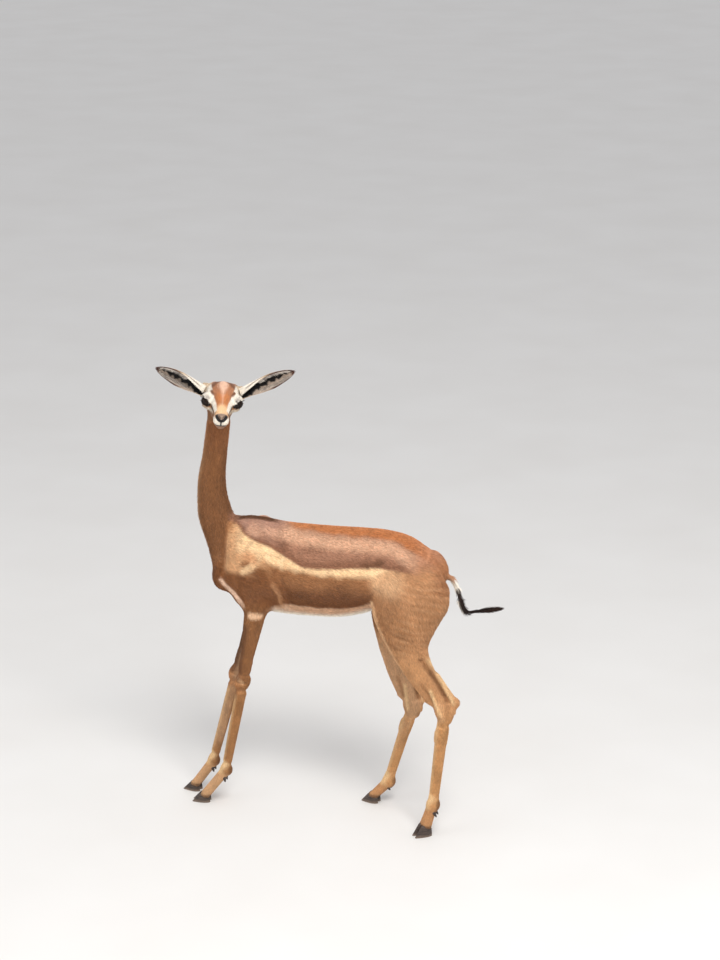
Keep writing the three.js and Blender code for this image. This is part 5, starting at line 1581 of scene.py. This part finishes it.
def eye_finish():
    material, shader, nodes, link = fresh_finish("eye")
    for name, value in (
        ("Roughness", 0.3), ("Specular IOR Level", 0.05), ("Coat Weight", 0.4),
        ("Coat Roughness", 0.02), ("Coat IOR", 1.38),
    ):
        shader.inputs[name].default_value = value
    gaze = nodes.new("ShaderNodeAttribute")
    gaze.attribute_name = "gaze"

    def distance(stretch):
        scaled, length = nodes.new("ShaderNodeVectorMath"), nodes.new("ShaderNodeVectorMath")
        scaled.operation, length.operation = "MULTIPLY", "LENGTH"
        scaled.inputs[1].default_value = stretch
        link(gaze.outputs["Vector"], scaled.inputs[0])
        link(scaled.outputs[0], length.inputs[0])
        return length.outputs["Value"]

    def step(value, low, high):
        node = nodes.new("ShaderNodeMapRange")
        node.interpolation_type = "SMOOTHSTEP"
        node.inputs["From Min"].default_value, node.inputs["From Max"].default_value = low, high
        link(value, node.inputs["Value"])
        return node.outputs[0]

    def mixed(mask, a, b):
        node = nodes.new("ShaderNodeMix")
        node.data_type = "RGBA"
        link(mask, node.inputs["Factor"])
        for socket, value in ((node.inputs[6], a), (node.inputs[7], b)):
            if isinstance(value, tuple):
                socket.default_value = value
            else:
                link(value, socket)
        return node.outputs[2]

    ray, rays = nodes.new("ShaderNodeVectorMath"), nodes.new("ShaderNodeTexNoise")
    ray.operation = "NORMALIZE"
    flat = nodes.new("ShaderNodeVectorMath")
    flat.operation = "MULTIPLY"
    flat.inputs[1].default_value = (1, 1, 0)
    link(gaze.outputs["Vector"], flat.inputs[0])
    link(flat.outputs[0], ray.inputs[0])
    link(ray.outputs[0], rays.inputs["Vector"])
    rays.inputs["Scale"].default_value, rays.inputs["Detail"].default_value = 9, 5
    iris = mixed(step(rays.outputs["Fac"], 0.35, 0.7), EYE_TINTS["iris dark"], EYE_TINTS["iris light"])
    iris = mixed(step(distance((1, 1, 0)), 0.5, 0.66), iris, EYE_TINTS["iris dark"])
    iris = mixed(step(distance((1, 1, 0)), 0.68, 0.74), iris, EYE_TINTS["white"])
    pupil = step(distance((2.3, 3.4, 0)), 0.92, 1.06)
    link(mixed(pupil, EYE_TINTS["pupil"], iris), shader.inputs["Base Color"])
    return material


eye_material = eye_finish()
EYE_RINGS, EYE_SIDES = 36, 48
for name, side in (("left", 1), ("right", -1)):
    ahead = unit(at(0.42, side, -0.04))
    level = unit(at(0.82, 0, -0.28) - ahead * (at(0.82, 0, -0.28) @ ahead))
    up = np.cross(level, ahead) * side
    looks = [ahead]
    for ring in range(1, EYE_RINGS):
        for turn in np.linspace(0, 2 * math.pi, EYE_SIDES, endpoint=False):
            lean = math.pi * ring / EYE_RINGS
            aslant = level * math.cos(turn) + up * math.sin(turn)
            looks.append(ahead * math.cos(lean) + math.sin(lean) * aslant)
    looks = np.array(looks + [-ahead])
    gaze = np.stack([looks @ level, looks @ up, looks @ ahead], 1)
    bulge = 1 + 0.035 * smooth(gaze[:, 2], 0.72, 1.0)
    ball = EYE * at(1, side, 1) + looks * ((EYE_RADIUS - 0.1) * bulge)[:, None]
    last = len(looks) - 1
    faces = [(0, 1 + i, 1 + (i + 1) % EYE_SIDES) for i in range(EYE_SIDES)]
    for ring in range(EYE_RINGS - 2):
        a, b = 1 + ring * EYE_SIDES, 1 + (ring + 1) * EYE_SIDES
        faces += [(a + i, b + i, b + (i + 1) % EYE_SIDES, a + (i + 1) % EYE_SIDES) for i in range(EYE_SIDES)]
    faces += [(last, b + (i + 1) % EYE_SIDES, b + i) for i in range(EYE_SIDES)]
    eye_mesh = bpy.data.meshes.new("eye")
    eye_mesh.from_pydata(placed(on_head(ball)).tolist(), [], faces)
    store(eye_mesh, "gaze", "FLOAT_VECTOR", np.where(gaze[:, 2:] > 0, gaze, at(2, 2, 0)))
    faced_out(eye_mesh)
    eye_mesh.polygons.foreach_set("use_smooth", [True] * len(eye_mesh.polygons))
    eye_mesh.materials.append(eye_material)
    eye_object = added("eyeball_" + name, eye_mesh)
    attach(eye_object, "root")
    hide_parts("eye_" + name)

# Claws. Each foot stands on two narrow claws of dark horn, ringed by growth and scuffed pale at the ground,
# and carries two small dewclaws behind the fetlock. The claws reach up inside the skin, where hair covers
# their top.
CLAW_LEVELS = [0, 0.05, 0.16, 0.3, 0.44, 0.58, 0.72, 0.86, 1.0, 1.12]
CLAW_SIDES, DEWCLAW_SIDES = 32, 16
CLAW_OFFSET, DEWCLAW_OFFSET = 8.7, 8
DEWCLAW_SHAPE = [(0, 0.8), (0.2, 1.0), (0.4, 0.92), (0.6, 0.78), (0.76, 0.62), (0.9, 0.42), (0.98, 0.2)]


def horn_finish():
    material, shader, nodes, link = fresh_finish("horn")
    shader.inputs["Specular IOR Level"].default_value = 0.4
    where, split = nodes.new("ShaderNodeTexCoord"), nodes.new("ShaderNodeSeparateXYZ")
    link(where.outputs["Object"], split.inputs[0])
    stretch = nodes.new("ShaderNodeMapping")
    stretch.inputs["Scale"].default_value = (60, 60, 700)
    link(where.outputs["Object"], stretch.inputs["Vector"])
    rings, scuffs = nodes.new("ShaderNodeTexNoise"), nodes.new("ShaderNodeTexNoise")
    link(stretch.outputs[0], rings.inputs["Vector"])
    rings.inputs["Scale"].default_value, rings.inputs["Detail"].default_value = 1, 4
    link(where.outputs["Object"], scuffs.inputs["Vector"])
    scuffs.inputs["Scale"].default_value, scuffs.inputs["Detail"].default_value = 260, 6
    ramp = nodes.new("ShaderNodeValToRGB")
    ramp.color_ramp.elements[0].color = (*colour(38, 30, 28), 1)
    ramp.color_ramp.elements[1].color = (*colour(96, 80, 70), 1)
    ramp.color_ramp.elements[0].position, ramp.color_ramp.elements[1].position = 0.34, 0.72
    link(rings.outputs["Fac"], ramp.inputs[0])
    low = nodes.new("ShaderNodeMapRange")
    for socket, value in (("From Min", 0.009), ("From Max", 0.0), ("To Min", 0.0), ("To Max", 0.75)):
        low.inputs[socket].default_value = value
    link(split.outputs["Z"], low.inputs["Value"])
    worn = nodes.new("ShaderNodeMath")
    worn.operation = "MULTIPLY"
    link(low.outputs[0], worn.inputs[0])
    link(scuffs.outputs["Fac"], worn.inputs[1])
    dusty = nodes.new("ShaderNodeMix")
    dusty.data_type = "RGBA"
    link(worn.outputs[0], dusty.inputs["Factor"])
    link(ramp.outputs[0], dusty.inputs[6])
    dusty.inputs[7].default_value = (*colour(178, 152, 130), 1)
    link(dusty.outputs[2], shader.inputs["Base Color"])
    rough = nodes.new("ShaderNodeMapRange")
    rough.inputs["To Min"].default_value, rough.inputs["To Max"].default_value = 0.32, 0.62
    link(scuffs.outputs["Fac"], rough.inputs["Value"])
    link(rough.outputs[0], shader.inputs["Roughness"])
    bump = nodes.new("ShaderNodeBump")
    bump.inputs["Strength"].default_value, bump.inputs["Distance"].default_value = 0.5, 0.0005
    link(rings.outputs["Fac"], bump.inputs["Height"])
    link(bump.outputs[0], shader.inputs["Normal"])
    return material


horn = horn_finish()


def horn_piece(name, rings, replaced):
    """A closed piece of horn from rings of points, each end drawn together to a point in its middle."""
    sides = len(rings[0])
    points = np.concatenate([*rings, [rings[0].mean(0)], [rings[-1].mean(0)]])
    first, last, end = len(points) - 2, len(points) - 1, (len(rings) - 1) * sides
    faces = between_rings(len(rings) - 1, sides)
    faces += [(first, (i + 1) % sides, i) for i in range(sides)]
    faces += [(last, end + i, end + (i + 1) % sides) for i in range(sides)]
    mesh = bpy.data.meshes.new(name)
    mesh.from_pydata(placed(points).tolist(), [], faces)
    faced_out(mesh)
    mesh.polygons.foreach_set("use_smooth", [True] * len(mesh.polygons))
    mesh.materials.append(horn)
    piece = added(name, mesh)
    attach(piece, "root")
    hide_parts(replaced)


def claw_rings(leg, offset):
    turn = np.linspace(0, 2 * math.pi, CLAW_SIDES, endpoint=False)
    forward = np.maximum(0, -np.cos(turn))
    rings = []
    for level in [None] + CLAW_LEVELS:
        share = np.full(CLAW_SIDES, level or 0.0)
        for _ in range(3):
            along = 2 + np.cos(turn) * np.where(np.cos(turn) > 0, 19 - 1.8 * share, 33 - 17 * share)
            height = (level or 0.0) * (leg["horn"] - 0.3 * (along - 4))
            share = height / leg["horn"]
        growth = 0.16 * np.sin(share * 26) * (level or 0)
        across = (8.2 - 0.4 * share + growth) * np.sin(turn) * (1 - 0.3 * forward)
        shrink = {None: 0.72, 0: 0.93, 1.12: 0.86}.get(level, 1.0)
        ring = np.stack([2 + (along - 2) * shrink, offset + across * shrink, height], 1)
        if level is None:
            ring[:, 2] = 1.2
        rings.append(toed_out(leg, ring))
    return rings


def dewclaw_rings(leg, offset):
    root = between(leg["fetlock"], leg["hoof"], 0.12) + at(5, offset, -9)
    tip = between(leg["fetlock"], leg["hoof"], 0.3) + at(21, offset * 1.15, -6)
    ahead = unit(tip - root)
    across = unit(at(0, 1, 0) - ahead * ahead[1])
    turn = np.linspace(0, 2 * math.pi, DEWCLAW_SIDES, endpoint=False)
    rings = []
    for share, size in DEWCLAW_SHAPE:
        middle = between(root, tip, share) + at(0, 0, -1.5 * share * share)
        ring = np.cos(turn)[:, None] * across * 5.6 + np.sin(turn)[:, None] * np.cross(ahead, across) * 4.6
        rings.append(middle + ring * size)
    return rings


for name, leg in LEGS.items():
    for which, way in (("outer", 1), ("inner", -1)):
        place, outwards = f"{name}_{which}", way * leg["side"]
        horn_piece("claw_" + place, claw_rings(leg, outwards * CLAW_OFFSET), "hoof_" + place)
        horn_piece("spur_" + place, dewclaw_rings(leg, outwards * DEWCLAW_OFFSET), "dewclaw_" + place)

# Tail hair. Below its white root the tail is black, thin and sleek, and ends in a tuft that kicks back. A
# core carries the hair on from the dock, and its hairs grow longer towards the tip. Its share is counted in
# the places of TAIL.
TAIL_TIP = (566, -9, 641)
TAIL_FROM, TAIL_END = 3.2, 8
places = np.array([(i, *place, radius) for i, (place, radius) in enumerate([*TAIL, (TAIL_TIP, 1.2)])], float)
tail_x, tail_y, tail_z, tail_r = (curve_of(places, k) for k in (1, 2, 3, 4))
TAIL_ROWS, TAIL_SIDES = 60, 14


def tail_at(t):
    return np.stack([tail_x(t), tail_y(t), tail_z(t)], -1)


share = np.linspace(TAIL_FROM, TAIL_END, TAIL_ROWS + 1)
middle = tail_at(share)
ahead = tail_at(np.minimum(share + 0.05, TAIL_END)) - tail_at(share - 0.05)
ahead /= np.linalg.norm(ahead, axis=1)[:, None]
sideways = np.tile(at(0, 1, 0), (len(share), 1)) - ahead * ahead[:, 1:2]
sideways /= np.linalg.norm(sideways, axis=1)[:, None]
upward = np.cross(ahead, sideways)
turn = np.linspace(0, 2 * math.pi, TAIL_SIDES, endpoint=False)
radius = np.where(share < 4, tail_r(share) - 2.4, tail_r(share) * 0.72)
radius[-1] = 0.5
tail_points = (
    middle[:, None] + radius[:, None, None]
    * (np.cos(turn)[None, :, None] * sideways[:, None] + np.sin(turn)[None, :, None] * upward[:, None])
).reshape(-1, 3)
tail_points = np.concatenate([tail_points, middle[:1], middle[-1:]])
first, last = len(tail_points) - 2, len(tail_points) - 1
tail_faces = between_rings(TAIL_ROWS, TAIL_SIDES)
end = TAIL_ROWS * TAIL_SIDES
tail_faces += [(first, (i + 1) % TAIL_SIDES, i) for i in range(TAIL_SIDES)]
tail_faces += [(last, end + i, end + (i + 1) % TAIL_SIDES) for i in range(TAIL_SIDES)]
tail_mesh = bpy.data.meshes.new("tail")
tail_mesh.from_pydata(placed(tail_points).tolist(), [], tail_faces)
faced_out(tail_mesh)
tail_mesh.polygons.foreach_set("use_smooth", [True] * len(tail_mesh.polygons))
tail_share = np.concatenate([np.repeat(share, TAIL_SIDES), share[:1], share[-1:]])
tail_flow = np.concatenate([np.repeat(ahead, TAIL_SIDES, 0), ahead[:1], ahead[-1:]])
TAIL_BLACK, TAIL_BROWN = colour(40, 26, 21), colour(84, 54, 38)
brown = np.clip(0.35 + 0.5 * uneven(tail_points, 9), 0, 1)[:, None] * smooth(tail_share, 6.2, 7.6)[:, None]
tail_paint = TAIL_BLACK + brown * (TAIL_BROWN - TAIL_BLACK)
inner_side = 1 - smooth(tail_points[:, 0] - tail_x(tail_share), -3, -1)
white_under = (inner_side * (1 - smooth(tail_share, 4.0, 4.5)))[:, None]
store(tail_mesh, "markings", "FLOAT_VECTOR", tail_paint + white_under * (WHITE - tail_paint))
store(tail_mesh, "flow", "FLOAT_VECTOR", tail_flow)
tail_length = along_line([(3, 15), (4.4, 19), (5.4, 12), (6.4, 20), (7.2, 22), (8, 8)], tail_share)
store(tail_mesh, "hair", "FLOAT", tail_length / 1000)
store(tail_mesh, "thick", "FLOAT", 0.8 + 1.2 * smooth(tail_share, 5.8, 7))
tail_stand = along_line([(3, 2.4), (4.6, 2.6), (5.4, 1.0), (6.6, 1.9), (8, 0.7)], tail_share)
store(tail_mesh, "stand", "FLOAT", tail_stand)
store(tail_mesh, "tone", "FLOAT", np.full(len(tail_points), 0.4))
store(tail_mesh, "patch", "INT", np.zeros(len(tail_faces), int), "FACE")
tail_map = tail_mesh.uv_layers.new(name="OFBake")
for face in tail_mesh.polygons:
    for loop in face.loop_indices:
        v = tail_mesh.loops[loop].vertex_index
        column = v % TAIL_SIDES if v < end + TAIL_SIDES else face.index % TAIL_SIDES
        wraps = face.index % TAIL_SIDES == TAIL_SIDES - 1 and column == 0
        down = (tail_share[v] - TAIL_FROM) / (TAIL_END - TAIL_FROM)
        tail_map.uv[loop].vector = ((column + TAIL_SIDES * wraps) / TAIL_SIDES, down)
tail_hair = hair_finish("tail hair", 900, 0.12)
tail_mesh.materials.append(tail_hair)
tail = added("tail", tail_mesh)
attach(tail, "root")
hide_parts("tail_hanging", "tail_tuft")
tail_settings = {"Density": 420000.0, "Lift": 0.12, "Width": 0.45, "Seed": 91}
laid("tail_coat", tail_mesh, 0, tail_settings, tail_hair, "tail_hair")

# Studio. The animal stands on a pale floor that runs on to the horizon, under a large soft lamp high in front
# and to the right, with a weak one on the left and an even pale surround.
floor_mesh = bpy.data.meshes.new("floor")
floor_mesh.from_pydata([(-60, -60, 0), (60, -60, 0), (60, 60, 0), (-60, 60, 0)], [], [(0, 1, 2, 3)])
floor_material, shader, nodes, link = fresh_finish("floor")
where, mottle, ramp = (nodes.new("ShaderNode" + kind) for kind in ("TexCoord", "TexNoise", "ValToRGB"))
link(where.outputs["Object"], mottle.inputs["Vector"])
mottle.inputs["Scale"].default_value = 2.5
ramp.color_ramp.elements[0].color = (*colour(226, 222, 216), 1)
ramp.color_ramp.elements[1].color = (*colour(234, 231, 226), 1)
link(mottle.outputs["Fac"], ramp.inputs[0])
link(ramp.outputs[0], shader.inputs["Base Color"])
shader.inputs["Roughness"].default_value = 0.7
floor_mesh.materials.append(floor_material)
floor = added("floor", floor_mesh)
for name, place, energy, size in (("key", (1.7, -2.6, 4.6), 205, 2.0), ("fill", (-3.8, -3.4, 2.2), 40, 3.0)):
    lamp = added(name, bpy.data.lights.new(name, "AREA"))
    lamp.data.energy, lamp.data.size = energy, size
    lamp.location = place
    lamp.rotation_euler = (Vector((0, 0, 0.6)) - lamp.location).to_track_quat("-Z", "Y").to_euler()
world = bpy.data.worlds.new("studio")
bpy.context.scene.world = world
world.use_nodes = True
world.node_tree.nodes["Background"].inputs["Color"].default_value = (0.93, 0.95, 1, 1)
world.node_tree.nodes["Background"].inputs["Strength"].default_value = 0.7
bpy.context.scene.view_settings.view_transform = "Standard"

# Camera. It looks down at the left side of the animal, from well above it and a little behind its middle, as
# in the photograph. Its place is given in the animal's axes.
CAMERA_AT = at(1869, -6269, 3070)
camera = added("camera", bpy.data.cameras.new("camera"))
camera.data.lens = 97.5
camera.location = Vector(placed(CAMERA_AT))
turn, dip = math.radians(15.1), math.radians(18)
looking = Vector((-math.sin(turn) * math.cos(dip), math.cos(turn) * math.cos(dip), -math.sin(dip)))
camera.rotation_euler = looking.to_track_quat("-Z", "Y").to_euler()
bpy.context.scene.camera = camera
